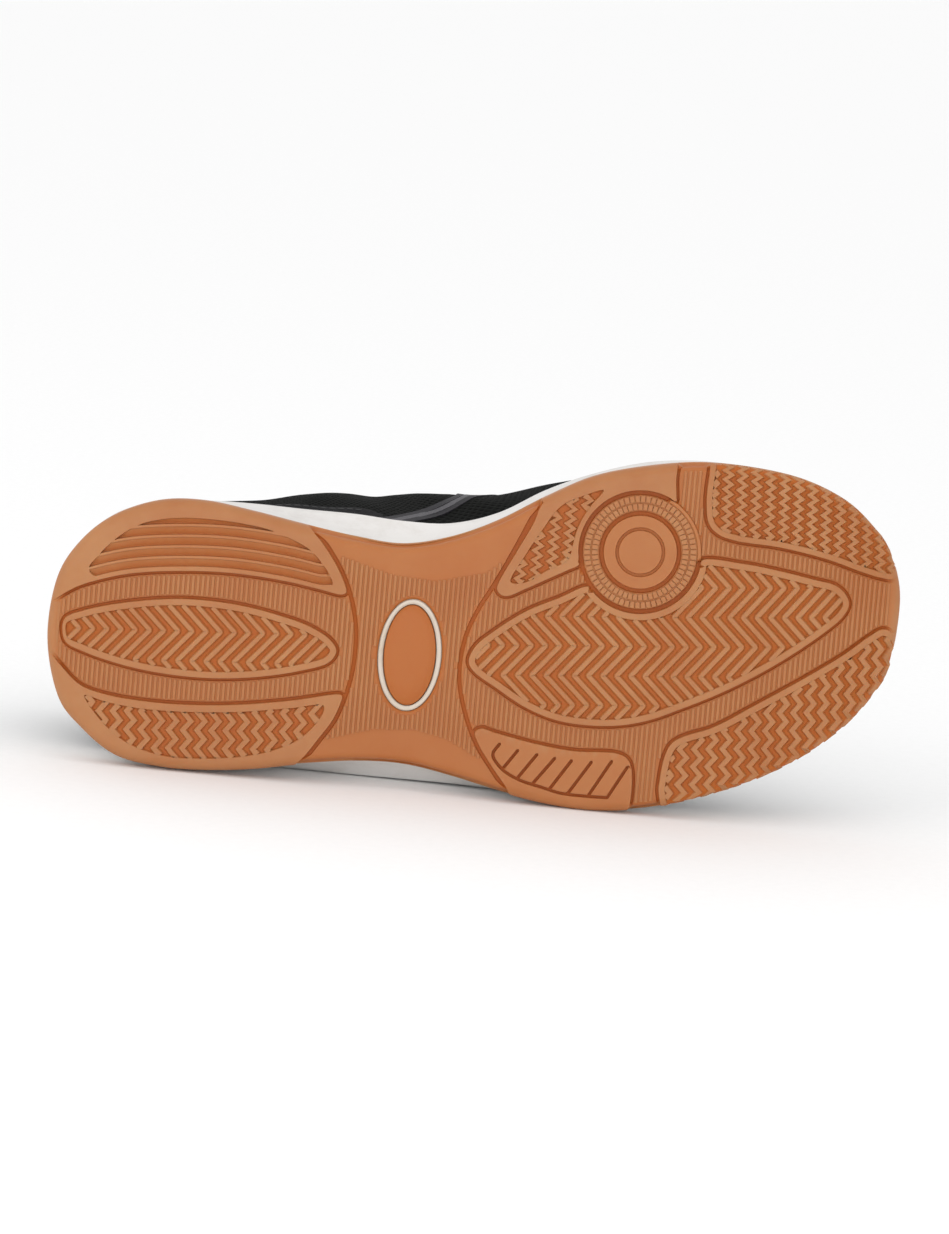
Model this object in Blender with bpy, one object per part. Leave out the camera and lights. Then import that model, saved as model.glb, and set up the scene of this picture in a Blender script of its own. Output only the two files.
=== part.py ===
"""Indoor court shoe for the left foot, lying on its outer side as it does when the sole is shown.

Everything is worked out in the shoe's own frame: x from the back of the heel to the toe, y from the inner
side of the foot (minus) to the outer side (plus), z up from the ground under the tread. The tables are in
millimetres and MM turns them into metres when a mesh is made. The empty named shoe then lays the finished
shoe down on the floor, so that it rests on its sole edge and on the side of its upper.
"""

import math
from collections import namedtuple

import bmesh
import bpy
import numpy as np
from mathutils import Matrix, Vector
from mathutils.geometry import delaunay_2d_cdt

MM = 0.001
GAP = 0.3

# Outsole: a moulded rubber cup with raised tread pads
TREAD_DEPTH = 1.5
PAD_DRAFT = 0.6
PAD_EDGE_INSET = 2.4
EDGE_INSET, EDGE_RISE = 0.6, 1.8
WALL_RISE = 4.0
RIM_INSET = 2.0
CUP_INSET = 2.3
OUTSOLE_THICKNESS = 5.0
TREAD_GRID = 11.0
TREAD_GRID_CLEARANCE = 3.0

# Turning disc under the ball of the foot: radii of its rings
DISC_CENTRE = (173.4, -24.9)
DISC_WELL_RADIUS = 18.6
DISC_RADIUS = 16.9
DISC_GROOVE_OUTER, DISC_GROOVE_INNER = 12.2, 10.4
DISC_SIDES = 28

# Oval window in the waist, with a rubber plug in it
WINDOW_CENTRE = (106.0, 5.6)
WINDOW_HALF = (9.5, 16.3)
WINDOW_RING = 1.8
WINDOW_SIDES = 36

# Midsole: foam wedge with a lip that holds the upper
LIP_ROUND = 0.8
LIP_INSET = 2.0
BED_INSET = 2.8

# Upper: hollow wall, padded at the collar and stepped at the eyestay
WALL = 2.2
EYESTAY_STEP = 0.8
EYESTAY_FROM_X = 97.0
EYESTAY_BAND = 0.81
COLLAR_PAD_FROM = 0.55
RIM_CROWN = 0.35
OUTER_RINGS = (0.0, 0.1, 0.24, 0.4, 0.55, 0.69, 0.79, 0.83, 0.92, 1.0)
INNER_RINGS = (1.0, 0.9, 0.75, 0.55, 0.3, 0.0)

INSOLE_THICKNESS = 4.0
TONGUE_THICKNESS = 4.0
TONGUE_UNDER = 9.0
TONGUE_CLEARANCE = 0.6
TONGUE_CROWN = 2.0
TONGUE_CLAMP = 1.0
TONGUE_FIRST_ROW = 9.0
TONGUE_TUCK_RUN, TONGUE_TOP_TUCK = 30.0, 0.2
TONGUE_TOP_BEND = 0.6

LACE_RADIUS = 1.7
LACE_SIDES = 8
LACE_CLEARANCE = 0.5
EYELET_BAND = 0.93
EYELET_ROWS = (9.0, 10.0, 11.0, 12.0, 13.1, 14.4)

SAMPLES_PER_ROW = 2

# Density of each material in kg per cubic metre, for the balance of the lying shoe
RUBBER, FOAM, TEXTILE = 1200, 250, 300

# Plan outlines: the tread's edge and the midsole's lip, at stations from heel to toe
Plan = namedtuple("Plan", "x tread_inner tread_outer lip_inner lip_outer")
PLAN = [
    Plan(0.0, 0.5, 0.5, 0.5, 0.5),
    Plan(3.0, -17.0, 17.5, -16.8, 17.2),
    Plan(10.0, -28.0, 26.8, -27.6, 26.2),
    Plan(20.0, -35.6, 34.8, -35.2, 33.8),
    Plan(33.0, -39.8, 38.2, -39.2, 37.2),
    Plan(46.0, -39.8, 39.2, -39.2, 38.4),
    Plan(60.0, -36.8, 38.5, -37.6, 39.2),
    Plan(75.0, -32.9, 36.8, -36.0, 40.4),
    Plan(90.0, -29.2, 36.0, -34.6, 41.6),
    Plan(104.0, -26.9, 36.9, -32.6, 42.6),
    Plan(118.0, -29.0, 40.4, -32.0, 44.2),
    Plan(132.0, -34.0, 45.0, -35.2, 46.4),
    Plan(146.0, -41.0, 49.2, -41.4, 48.6),
    Plan(160.0, -46.9, 51.1, -46.4, 49.8),
    Plan(176.0, -49.9, 50.5, -49.2, 49.2),
    Plan(192.0, -50.8, 47.1, -50.0, 46.0),
    Plan(208.0, -49.0, 42.0, -48.2, 41.0),
    Plan(222.0, -45.4, 35.2, -44.4, 34.0),
    Plan(234.0, -39.2, 26.2, -38.0, 25.0),
    Plan(242.0, -31.6, 16.4, -30.4, 15.2),
    Plan(247.0, -24.2, 6.8, -22.6, 5.8),
    Plan(250.0, -10.5, -10.5, -10.5, -10.5),
]

# Side profile: ground line of the tread, top of the rubber rim, top of the midsole's lip, and footbed
Profile = namedtuple("Profile", "x ground rim lip bed")
PROFILE = [
    Profile(0.0, 3.0, 12.0, 28.0, 23.5),
    Profile(8.0, 0.8, 9.5, 27.2, 23.0),
    Profile(16.0, 0.0, 8.0, 26.4, 22.4),
    Profile(46.0, 0.0, 7.5, 25.6, 21.6),
    Profile(76.0, 0.0, 7.0, 24.6, 20.6),
    Profile(104.0, 3.0, 8.8, 23.4, 19.2),
    Profile(132.0, 0.0, 6.5, 20.8, 16.8),
    Profile(160.0, 0.0, 6.5, 18.4, 14.4),
    Profile(186.0, 0.0, 7.0, 17.4, 13.4),
    Profile(215.0, 2.4, 11.0, 19.0, 14.8),
    Profile(235.0, 6.0, 16.5, 22.4, 17.8),
    Profile(250.0, 10.5, 22.0, 26.4, 21.8),
]

# Ribs of the upper: each climbs from the footbed at x to the top line at top_x, top_z. The shares give the
# top line's distance from the middle as a part of the foot line's. Bulge and rise place the lower handle of
# the rib's curve, spread and drop the upper one, and padding thickens the collar.
Rib = namedtuple(
    "Rib",
    "x top_x top_z share_inner share_outer bulge_inner bulge_outer rise "
    "spread_inner spread_outer drop padding",
)
RIBS = [
    Rib(0.0, 9.5, 80.0, 0.72, 0.72, 4.4, 4.4, 22.0, 6.0, 6.0, 20.0, 3.0),
    Rib(10.0, 15.5, 79.0, 0.74, 0.74, 4.2, 4.2, 21.0, 6.5, 6.5, 19.0, 3.5),
    Rib(20.0, 23.5, 76.0, 0.77, 0.77, 3.9, 3.8, 20.0, 7.5, 7.5, 17.0, 4.0),
    Rib(46.0, 47.0, 67.0, 0.80, 0.82, 3.4, 3.4, 18.0, 10.0, 11.0, 14.0, 4.0),
    Rib(60.0, 59.5, 67.0, 0.79, 0.79, 3.4, 3.2, 18.0, 14.0, 12.0, 14.0, 4.0),
    Rib(75.0, 71.0, 75.0, 0.74, 0.67, 3.6, 2.6, 18.0, 19.0, 15.0, 15.0, 3.5),
    Rib(90.0, 82.0, 88.0, 0.61, 0.52, 4.0, 2.0, 20.0, 28.0, 20.0, 16.0, 1.5),
    Rib(98.0, 88.0, 93.5, 0.56, 0.45, 4.0, 2.0, 21.0, 33.0, 22.0, 15.0, 0.4),
    Rib(118.0, 104.0, 87.0, 0.49, 0.34, 4.0, 2.0, 21.0, 37.0, 24.0, 12.0, 0.0),
    Rib(146.0, 127.0, 76.0, 0.32, 0.24, 3.6, 2.6, 20.0, 31.0, 26.0, 9.0, 0.0),
    Rib(176.0, 147.0, 66.5, 0.235, 0.18, 3.0, 3.0, 19.0, 29.0, 28.0, 7.0, 0.0),
    Rib(208.0, 160.0, 60.5, 0.20, 0.15, 3.0, 3.0, 19.0, 33.0, 31.0, 8.0, 0.0),
    Rib(234.0, 165.6, 58.0, 0.185, 0.08, 3.0, 3.0, 19.0, 37.0, 35.0, 10.0, 0.0),
    Rib(250.0, 167.0, 57.5, 0.24, 0.24, 3.0, 3.0, 19.0, 39.0, 39.0, 11.0, 0.0),
]

# Tongue sections above the top eyelets: how far up, and how wide beside the top eyelets
TongueTop = namedtuple("TongueTop", "climb width")
TONGUE_TOP = [
    TongueTop(27.0, 0.85),
    TongueTop(23.0, 1.15),
    TongueTop(17.0, 1.22),
    TongueTop(11.0, 1.06),
    TongueTop(5.5, 0.72),
]
TONGUE_TOP_DIRECTION = Vector((-0.74, 0.0, 0.67))

# Tread pads: the grooved side of each, in plan. Pads that reach the sole's edge then follow it.
HEEL_INNER_PAD = [
    (7.0, -14.4), (11.0, -15.8), (23.6, -18.6), (39.4, -19.5), (55.2, -18.8), (71.0, -16.3),
    (86.3, -12.8), (85.4, -20.5), (79.0, -29.0),
]
HEEL_MIDDLE_PAD = [
    (5.8, -4.4), (11.0, -7.4), (23.6, -10.1), (39.4, -11.2), (55.2, -9.6), (67.9, -6.4),
    (77.4, -2.9), (83.0, 1.0), (84.4, 4.2), (82.4, 7.0), (74.2, 9.7), (61.6, 11.5), (48.9, 11.9),
    (36.2, 11.3), (23.6, 9.1), (11.0, 5.0), (5.8, 1.8),
]
HEEL_OUTER_PAD = [
    (75.0, 33.2), (82.0, 25.0), (85.8, 17.2), (71.0, 18.6), (55.2, 19.8), (42.6, 19.8),
    (29.9, 18.9), (17.2, 16.7), (8.4, 13.4),
]
BALL_INNER_PAD = [
    (142.6, -36.4), (136.7, -24.9), (132.2, -16.2), (132.6, -13.2), (134.6, -12.2),
    (143.5, -15.8), (152.4, -19.2),
]
BALL_INNER_PAD_END = [(182.9, -42.2)]
BALL_INNER_WELL = (165.0, 300.0)
BALL_MIDDLE_PAD_REAR = [
    (174.8, 24.5), (164.2, 25.9), (150.0, 24.5), (140.1, 20.6), (130.8, 14.4), (124.8, 10.0),
    (123.3, 7.2), (125.2, 2.8), (131.0, -2.0), (140.2, -7.7), (149.6, -11.5),
]
BALL_MIDDLE_PAD_FRONT = [
    (203.0, -21.4), (213.7, -19.2), (224.4, -16.4), (230.4, -14.7), (233.4, -12.0), (234.2, -8.8),
    (232.7, -4.7), (227.4, 0.5), (213.4, 9.6), (199.3, 16.7), (185.2, 21.7),
]
BALL_MIDDLE_WELL = (146.0, 8.0)
BALL_OUTER_PAD = [
    (171.0, 46.5), (171.2, 37.4), (169.0, 34.8), (164.2, 33.9), (146.2, 31.7), (133.6, 28.8),
    (127.6, 26.9), (125.6, 28.0), (126.2, 30.6), (128.4, 35.0), (132.6, 41.6),
]
TOE_INNER_PAD = [
    (193.4, -46.5), (192.7, -39.1), (193.4, -33.2), (196.0, -30.2), (201.3, -28.3),
    (213.9, -26.6), (228.0, -23.1), (238.4, -19.2), (243.6, -17.6),
]
TOE_OUTER_PAD = [
    (243.6, -2.4), (239.6, -1.4), (232.0, 4.2), (221.4, 10.6), (207.2, 18.4), (194.4, 25.5),
    (186.0, 29.0), (182.7, 31.0), (180.7, 34.8), (179.3, 41.6), (179.0, 45.5),
]


def clear_scene():
    """Empties the startup scene."""
    for item in list(bpy.data.objects):
        bpy.data.objects.remove(item)


def smooth(table, column, x):
    """Value of a table's column at x, on a curve through the rows that never overshoots them."""
    knots = np.array([row.x for row in table])
    values = np.array([getattr(row, column) for row in table])
    slopes = np.diff(values) / np.diff(knots)
    tangents = np.zeros(len(knots))
    before, after = slopes[:-1], slopes[1:]
    same = before * after > 0
    tangents[1:-1][same] = (2 * before * after)[same] / (before + after)[same]
    tangents[0], tangents[-1] = slopes[0], slopes[-1]
    x = np.clip(np.asarray(x, float), knots[0], knots[-1])
    span = np.clip(np.searchsorted(knots, x, side="right") - 1, 0, len(slopes) - 1)
    width = np.diff(knots)[span]
    t = (x - knots[span]) / width
    start = (1 + 2 * t) * (1 - t) ** 2 * values[span] + t * (1 - t) ** 2 * width * tangents[span]
    return start + t**2 * (3 - 2 * t) * values[span + 1] + t**2 * (t - 1) * width * tangents[span + 1]


def catmull(points, u, closed):
    """Points of a Catmull-Rom curve at the parameters u, which count the curve's own points."""
    points = np.asarray(points, float)
    count = len(points)
    u = np.atleast_1d(np.asarray(u, float))
    first = np.floor(u).astype(int) if closed else np.clip(np.floor(u).astype(int), 0, count - 2)
    t = (u - first)[:, None]

    def corner(step):
        index = first + step
        return points[index % count] if closed else points[np.clip(index, 0, count - 1)]

    before, start, end, after = corner(-1), corner(0), corner(1), corner(2)
    bend = 2 * before - 5 * start + 4 * end - after
    turn = 3 * (start - end) + after - before
    return 0.5 * (2 * start + (end - before) * t + bend * t**2 + turn * t**3)


def plan_loop(inner, outer, u):
    """Closed plan outline, from the heel round the outer side to the toe and back, at row positions u."""
    out_side = [(row.x, getattr(row, outer)) for row in PLAN]
    in_side = [(row.x, getattr(row, inner)) for row in PLAN[-2:0:-1]]
    return catmull(out_side + in_side, u, closed=True)


LOOP_ROWS = 2 * (len(PLAN) - 1)
RING = np.arange(LOOP_ROWS * SAMPLES_PER_ROW) / SAMPLES_PER_ROW
SIDES = len(RING)


def outward(loop):
    """Unit normals of a closed plan outline, pointing out of the shoe."""
    along = np.roll(loop, -1, axis=0) - np.roll(loop, 1, axis=0)
    normal = np.stack([-along[:, 1], along[:, 0]], axis=1)
    return normal / np.linalg.norm(normal, axis=1, keepdims=True)


def inset(loop, distance):
    """The outline moved inwards."""
    return loop - distance * outward(loop)


TREAD_LOOP = plan_loop("tread_inner", "tread_outer", RING)
LIP_LOOP = plan_loop("lip_inner", "lip_outer", RING)


def height(column, x):
    """A side-profile height at x."""
    return smooth(PROFILE, column, x)


def ring_at(loop, column, lift=0.0):
    """A plan outline lifted onto a line of the side profile."""
    return np.column_stack([loop, height(column, loop[:, 0]) + lift])


def sew(rings, capped):
    """Faces between rings of equal length. The end rings are capped, or else joined to each other."""
    count = len(rings[0])
    faces = []
    last = len(rings) if not capped else len(rings) - 1
    for level in range(last):
        low, high = level * count, (level + 1) % len(rings) * count
        for k in range(count):
            after = (k + 1) % count
            faces.append((low + k, low + after, high + after, high + k))
    if capped:
        faces += zipped(0, count) + zipped((len(rings) - 1) * count, count)
    return np.concatenate(rings), faces


def zipped(base, count):
    """Faces that close a ring from side to side."""
    faces = [(base, base + 1, base + count - 1)]
    for k in range(1, count // 2 - 1):
        faces.append((base + k, base + k + 1, base + count - k - 1, base + count - k))
    return faces + [(base + count // 2 - 1, base + count // 2, base + count // 2 + 1)]


def material(name, colour, roughness):
    """A plain finish."""
    finish = bpy.data.materials.new(name)
    finish.use_nodes = True
    shader = finish.node_tree.nodes["Principled BSDF"]
    shader.inputs["Base Color"].default_value = (*colour, 1.0)
    shader.inputs["Roughness"].default_value = roughness
    shader.inputs["Metallic"].default_value = 0.0
    return finish


def solid(name, points, faces, finish):
    """A mesh object in metres from points in millimetres, with its faces turned outwards."""
    mesh = bpy.data.meshes.new(name)
    mesh.from_pydata([tuple(p) for p in np.asarray(points, float) * MM], [], faces)
    work = bmesh.new()
    work.from_mesh(mesh)
    bmesh.ops.remove_doubles(work, verts=work.verts, dist=0.01 * MM)
    bmesh.ops.recalc_face_normals(work, faces=work.faces)
    work.to_mesh(mesh)
    work.free()
    mesh.shade_smooth()
    mesh.set_sharp_from_angle(angle=math.radians(35))
    mesh.materials.append(finish)
    item = bpy.data.objects.new(name, mesh)
    bpy.context.scene.collection.objects.link(item)
    return item


def boolean(item, other, operation):
    """A Boolean modifier with a hidden second shape."""
    other.hide_render = True
    other.display_type = "WIRE"
    cut = item.modifiers.new(other.name, "BOOLEAN")
    cut.operation = operation
    cut.object = other


def arc(centre, radius, start, end, count):
    """Points on a circle between two angles in degrees, counted from the toe towards the outer side."""
    angles = np.radians(np.linspace(start, end, count))
    return [(centre[0] + radius * math.cos(a), centre[1] + radius * math.sin(a)) for a in angles]


def sole_edge(side, start_x, end_x):
    """The run of the pads' edge line along one side of the sole, from one station to another."""
    edge = inset(TREAD_LOOP, PAD_EDGE_INSET)
    half = SIDES // 2
    run = edge[: half + 1] if side == "outer" else np.roll(edge[::-1], 1, axis=0)[: half + 1]
    low, high = min(start_x, end_x), max(start_x, end_x)
    kept = [tuple(p) for p in run if low <= p[0] <= high]
    return kept if start_x < end_x else kept[::-1]


def well(angles):
    """Arc of the turning disc's well that bounds a pad."""
    start, end = angles
    return arc(DISC_CENTRE, DISC_WELL_RADIUS, start, end, 1 + round(abs(end - start) / 12))


def tread_pads():
    """Each pad as a list of closed outlines: the first is its border, any other a hole in it."""
    last = 360 - 360 / DISC_SIDES
    radii = (DISC_RADIUS, DISC_GROOVE_OUTER, DISC_GROOVE_INNER)
    circle = {radius: arc(DISC_CENTRE, radius, 0, last, DISC_SIDES) for radius in radii}
    return [
        [HEEL_INNER_PAD + sole_edge("inner", 75.0, 7.0)],
        [HEEL_MIDDLE_PAD],
        [HEEL_OUTER_PAD + sole_edge("outer", 9.0, 71.0)],
        [BALL_INNER_PAD + well(BALL_INNER_WELL) + BALL_INNER_PAD_END + sole_edge("inner", 181.0, 146.0)],
        [circle[DISC_RADIUS], circle[DISC_GROOVE_OUTER]],
        [circle[DISC_GROOVE_INNER]],
        [BALL_MIDDLE_PAD_REAR + well(BALL_MIDDLE_WELL) + BALL_MIDDLE_PAD_FRONT],
        [BALL_OUTER_PAD + sole_edge("outer", 137.0, 170.0)],
        [TOE_INNER_PAD + sole_edge("inner", 246.0, 195.0)],
        [TOE_OUTER_PAD + sole_edge("outer", 180.0, 246.0)],
    ]


def is_inside(outline, points):
    """Which of the points lie inside a closed outline."""
    outline = np.asarray(outline, float)
    nexts = np.roll(outline, -1, axis=0)
    x, y = points[:, 0, None], points[:, 1, None]
    spans = (outline[:, 1] > y) != (nexts[:, 1] > y)
    rise = np.where(nexts[:, 1] == outline[:, 1], 1.0, nexts[:, 1] - outline[:, 1])
    crossing = outline[:, 0] + (y - outline[:, 1]) * (nexts[:, 0] - outline[:, 0]) / rise
    return (spans & (x < crossing)).sum(axis=1) % 2 == 1


def foot_of_wall(outline, is_hole):
    """The outline at the foot of a pad's sloping side, in the channel around it."""
    outline = np.asarray(outline, float)
    turned = np.roll(outline, -1, axis=0)
    area = (outline[:, 0] * turned[:, 1] - turned[:, 0] * outline[:, 1]).sum()
    clockwise = outline if area < 0 else outline[::-1]
    return inset(clockwise, PAD_DRAFT if is_hole else -PAD_DRAFT)


def tread_plan():
    """Tread in plan: points, their heights over the ground line, triangles and the rim's points."""
    rim = inset(TREAD_LOOP, EDGE_INSET)
    loops, lifts = [rim], [EDGE_RISE]
    pads = tread_pads()
    for pad in pads:
        for order, outline in enumerate(pad):
            loops += [np.asarray(outline, float), foot_of_wall(outline, order > 0)]
            lifts += [0.0, TREAD_DEPTH]
    drawn = np.concatenate(loops)
    grid = np.array([
        (x, y)
        for x in np.arange(TREAD_GRID / 2, PLAN[-1].x, TREAD_GRID)
        for y in np.arange(-55.0, 55.0, TREAD_GRID)
    ])
    clear = np.linalg.norm(grid[:, None] - drawn[None], axis=2).min(axis=1) > TREAD_GRID_CLEARANCE
    grid = grid[clear & is_inside(rim, grid)]
    raised = np.zeros(len(grid), bool)
    for pad in pads:
        on_pad = is_inside(pad[0], grid)
        for hole in pad[1:]:
            on_pad &= ~is_inside(hole, grid)
        raised |= on_pad
    lift = [np.full(len(loop), value) for loop, value in zip(loops, lifts)]
    lift = np.concatenate(lift + [np.where(raised, 0.0, TREAD_DEPTH)])
    edges, start = [], 0
    for loop in loops:
        count = len(loop)
        edges += [(start + k, start + (k + 1) % count) for k in range(count)]
        start += count
    points = np.concatenate([drawn, grid])
    flat, _, triangles, sources, _, _ = delaunay_2d_cdt([Vector(p) for p in points], edges, [], 0, 1e-4)
    flat = np.array([tuple(p) for p in flat])
    lift = np.array([lift[source[0]] if source else TREAD_DEPTH for source in sources])
    middles = np.array([flat[list(t)].mean(axis=0) for t in triangles])
    faces = [tuple(t) for t, kept in zip(triangles, is_inside(rim, middles)) if kept]
    order = {source: index for index, found in enumerate(sources) for source in found}
    return flat, lift, faces, [order[k] for k in range(len(rim))]


def make_outsole(finish):
    """Rubber cup sole: tread underneath, side wall, rim, and the hollow that holds the midsole."""
    flat, lift, faces, rim = tread_plan()
    rings = [
        ring_at(TREAD_LOOP, "ground", WALL_RISE),
        ring_at(inset(TREAD_LOOP, GAP), "rim"),
        ring_at(inset(TREAD_LOOP, RIM_INSET), "rim"),
        ring_at(inset(TREAD_LOOP, CUP_INSET), "ground", OUTSOLE_THICKNESS),
    ]
    tread = np.column_stack([flat, height("ground", flat[:, 0]) + lift])
    base = len(tread)
    for k in range(SIDES):
        after = (k + 1) % SIDES
        faces.append((rim[k], rim[after], base + after, base + k))
    wall, wall_faces = sew(rings, capped=False)
    wall_faces = wall_faces[:-SIDES] + zipped((len(rings) - 1) * SIDES, SIDES)
    faces += [tuple(base + index for index in face) for face in wall_faces]
    outsole = solid("outsole", np.concatenate([tread, wall]), faces, finish)
    window = oval("window_cutter", WINDOW_HALF, -TREAD_DEPTH, OUTSOLE_THICKNESS + 3 * TREAD_DEPTH, finish)
    boolean(outsole, window, "DIFFERENCE")
    return outsole


def oval(name, half, low, high, finish):
    """Upright oval block in the waist between two heights over the ground line, bevelled below."""
    turn = np.linspace(0, 2 * math.pi, WINDOW_SIDES, endpoint=False)
    x = WINDOW_CENTRE[0] - half[0] * np.cos(turn)
    y = WINDOW_CENTRE[1] + half[1] * np.sin(turn)
    loop = np.column_stack([x, y])
    rings = [
        ring_at(inset(loop, PAD_DRAFT), "ground", low),
        ring_at(loop, "ground", low + PAD_DRAFT),
        ring_at(loop, "ground", high),
    ]
    return solid(name, *sew(rings, capped=True), finish)


def make_window_plug(finish):
    """Rubber plug inside the oval window, leaving a ring of the midsole to show round it."""
    half = tuple(size - WINDOW_RING for size in WINDOW_HALF)
    return oval("window_plug", half, TREAD_DEPTH, OUTSOLE_THICKNESS, finish)


def make_midsole(finish):
    """Foam wedge: it fills the rubber cup, flares over the waist and ends in a lip round the footbed."""
    middle = 0.45 * TREAD_LOOP + 0.55 * LIP_LOOP
    rim = ring_at(middle, "rim", GAP)
    lip = ring_at(middle, "lip")
    rings = [
        ring_at(inset(TREAD_LOOP, CUP_INSET + GAP), "ground", OUTSOLE_THICKNESS + GAP),
        ring_at(inset(TREAD_LOOP, RIM_INSET + GAP), "rim", GAP),
        ring_at(inset(TREAD_LOOP, GAP), "rim", GAP),
        0.6 * rim + 0.4 * lip,
        ring_at(LIP_LOOP, "lip", -2 * LIP_ROUND),
        ring_at(inset(LIP_LOOP, LIP_ROUND), "lip"),
        ring_at(inset(LIP_LOOP, LIP_INSET), "lip", -GAP),
        ring_at(inset(LIP_LOOP, BED_INSET), "bed"),
    ]
    return solid("midsole", *sew(rings, capped=True), finish)


def rib_curves(u):
    """Ribs of the upper at the row positions u of the plan: stations, collar padding and curve handles."""
    fine = np.arange(LOOP_ROWS * 8) / 8
    lip = plan_loop("lip_inner", "lip_outer", fine)
    foot = catmull(inset(lip, BED_INSET + GAP), u * 8, closed=True)
    out = np.column_stack([catmull(outward(lip), u * 8, closed=True), np.zeros(len(u))])
    station = plan_loop("lip_inner", "lip_outer", u)[:, 0]
    is_outer = u % LOOP_ROWS <= LOOP_ROWS / 2

    def rib(column):
        if column in Rib._fields:
            return smooth(RIBS, column, station)
        outer, inner = smooth(RIBS, column + "_outer", station), smooth(RIBS, column + "_inner", station)
        return np.where(is_outer, outer, inner)

    up = np.array([0.0, 0.0, 1.0])
    base = ring_at(foot, "bed", GAP)
    top = np.column_stack([rib("top_x"), rib("share") * foot[:, 1], rib("top_z")])
    low = base + out * rib("bulge")[:, None] + up * rib("rise")[:, None]
    high = top + out * rib("spread")[:, None] - up * rib("drop")[:, None]
    return station, rib("padding"), (base, low, high, top)


def on_ribs(handles, v):
    """Points at the share v of each rib."""
    base, low, high, top = handles
    return base * (1 - v) ** 3 + low * 3 * v * (1 - v) ** 2 + high * 3 * v**2 * (1 - v) + top * v**3


class Upper:
    """Faces of the upper over the ribs that climb from the footbed to the top line."""

    def __init__(self, u):
        """Ribs at the row positions u of the plan outline."""
        self.station, self.padding, self.handles = rib_curves(u)
        self.beside = rib_curves(u + 0.02)[2]

    def bare(self, v):
        """Points at the share v of each rib, on the outer face of the plain wall."""
        return on_ribs(self.handles, v)

    def facing(self, v):
        """Unit normals there, pointing out of the shoe."""
        climb = self.bare(np.minimum(v + 1e-3, 1.0)) - self.bare(np.maximum(v - 1e-3, 0.0))
        normal = np.cross(climb, on_ribs(self.beside, v) - self.bare(v))
        return normal / np.linalg.norm(normal, axis=1, keepdims=True)

    def outside(self, v):
        """The outer face, with the eyestay standing proud of the quarters."""
        stepped = (self.station >= EYESTAY_FROM_X) & (v > EYESTAY_BAND)
        return self.bare(v) + self.facing(v) * (EYESTAY_STEP * stepped)[:, None]

    def inside(self, v, clearance=0.0):
        """The inner face, thicker towards a padded collar, or a face a little inside it."""
        share = np.clip((v - COLLAR_PAD_FROM) / (0.95 - COLLAR_PAD_FROM), 0.0, 1.0)
        thickness = WALL + self.padding[:, None] * share * share * (3 - 2 * share) + clearance
        return self.bare(v) - self.facing(v) * thickness


def make_upper(finish):
    """One hollow wall, open underneath, at the collar and down the throat."""
    upper = Upper(RING)
    outer = [upper.outside(v) for v in OUTER_RINGS]
    inner = [upper.inside(v) for v in INNER_RINGS]
    wall = np.linalg.norm(outer[-1] - inner[0], axis=1)
    climb = upper.bare(1.0) - upper.bare(0.98)
    climb /= np.linalg.norm(climb, axis=1, keepdims=True)
    crown = (outer[-1] + inner[0]) / 2 + climb * (RIM_CROWN * wall)[:, None]
    return solid("upper", *sew([*outer, crown, *inner], capped=False), finish)


def make_insole(finish):
    """Sock liner on the footbed, inside the upper."""
    side = BED_INSET + GAP + WALL + 4 * GAP
    rings = [
        ring_at(inset(LIP_LOOP, side), "bed", GAP),
        ring_at(inset(LIP_LOOP, side), "bed", 0.75 * INSOLE_THICKNESS),
        ring_at(inset(LIP_LOOP, side + 1.2), "bed", INSOLE_THICKNESS),
    ]
    return solid("insole", *sew(rings, capped=True), finish)


def make_tongue(finish):
    """Padded tongue: it lies under the eyestays and the throat, and stands above the top eyelets."""
    throat = np.arange(TONGUE_FIRST_ROW, LOOP_ROWS - TONGUE_FIRST_ROW + 0.1, 0.5)
    upper = Upper(throat)
    reach = np.linalg.norm(upper.bare(1.0) - upper.bare(0.9), axis=1) / 0.1
    tuck = np.clip((upper.station - upper.station[0]) / TONGUE_TUCK_RUN, TONGUE_TOP_TUCK, 1.0)
    under = upper.inside(1 - (TONGUE_UNDER * tuck / reach)[:, None], TONGUE_CLEARANCE)
    edge = upper.inside(1.0, TONGUE_CLEARANCE)
    half = len(throat) // 2
    near, far = edge[: half + 1], edge[::-1][: half + 1]
    middle = (near + far) / 2
    width = np.linalg.norm(near - far, axis=1)
    middle[:, 2] += TONGUE_CROWN * width / width.max()
    tops = []
    for row in TONGUE_TOP:
        base = middle[0]
        section = (under[0], edge[0], base, edge[-1], under[-1])
        shape = np.array([TONGUE_TOP_BEND, row.width, TONGUE_TOP_BEND])
        raised = base + np.array(TONGUE_TOP_DIRECTION) * row.climb
        tops.append([raised + (p - base) * shape for p in section])
    rows = [(t[0], t[1]) for t in tops] + list(zip(under, edge)) + [(t[4], t[3]) for t in tops[::-1]]
    spine = [t[2] for t in tops] + list(middle[:-1])
    count = len(rows)
    faces = [(2 * j, 2 * j + 1, 2 * j + 3, 2 * j + 2) for j in range(count - 1)]
    tip = count // 2
    for k in range(tip):
        ahead = 2 * count + k + 1 if k + 1 < tip else 2 * tip + 1
        mirror = count - 1 - k
        for beside, beyond in ((2 * k + 1, 2 * k + 3), (2 * mirror + 1, 2 * mirror - 1)):
            faces.append(tuple(dict.fromkeys((beside, beyond, ahead, 2 * count + k))))
    points = [p for row in rows for p in row] + spine
    tongue = solid("tongue", np.array(points), faces, finish)
    if tongue.data.polygons[len(faces) // 2].normal.z < 0:
        tongue.data.flip_normals()
    thick = tongue.modifiers.new("padding", "SOLIDIFY")
    thick.thickness = TONGUE_THICKNESS * MM
    thick.offset = -1.0
    thick.thickness_clamp = TONGUE_CLAMP
    return tongue


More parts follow.
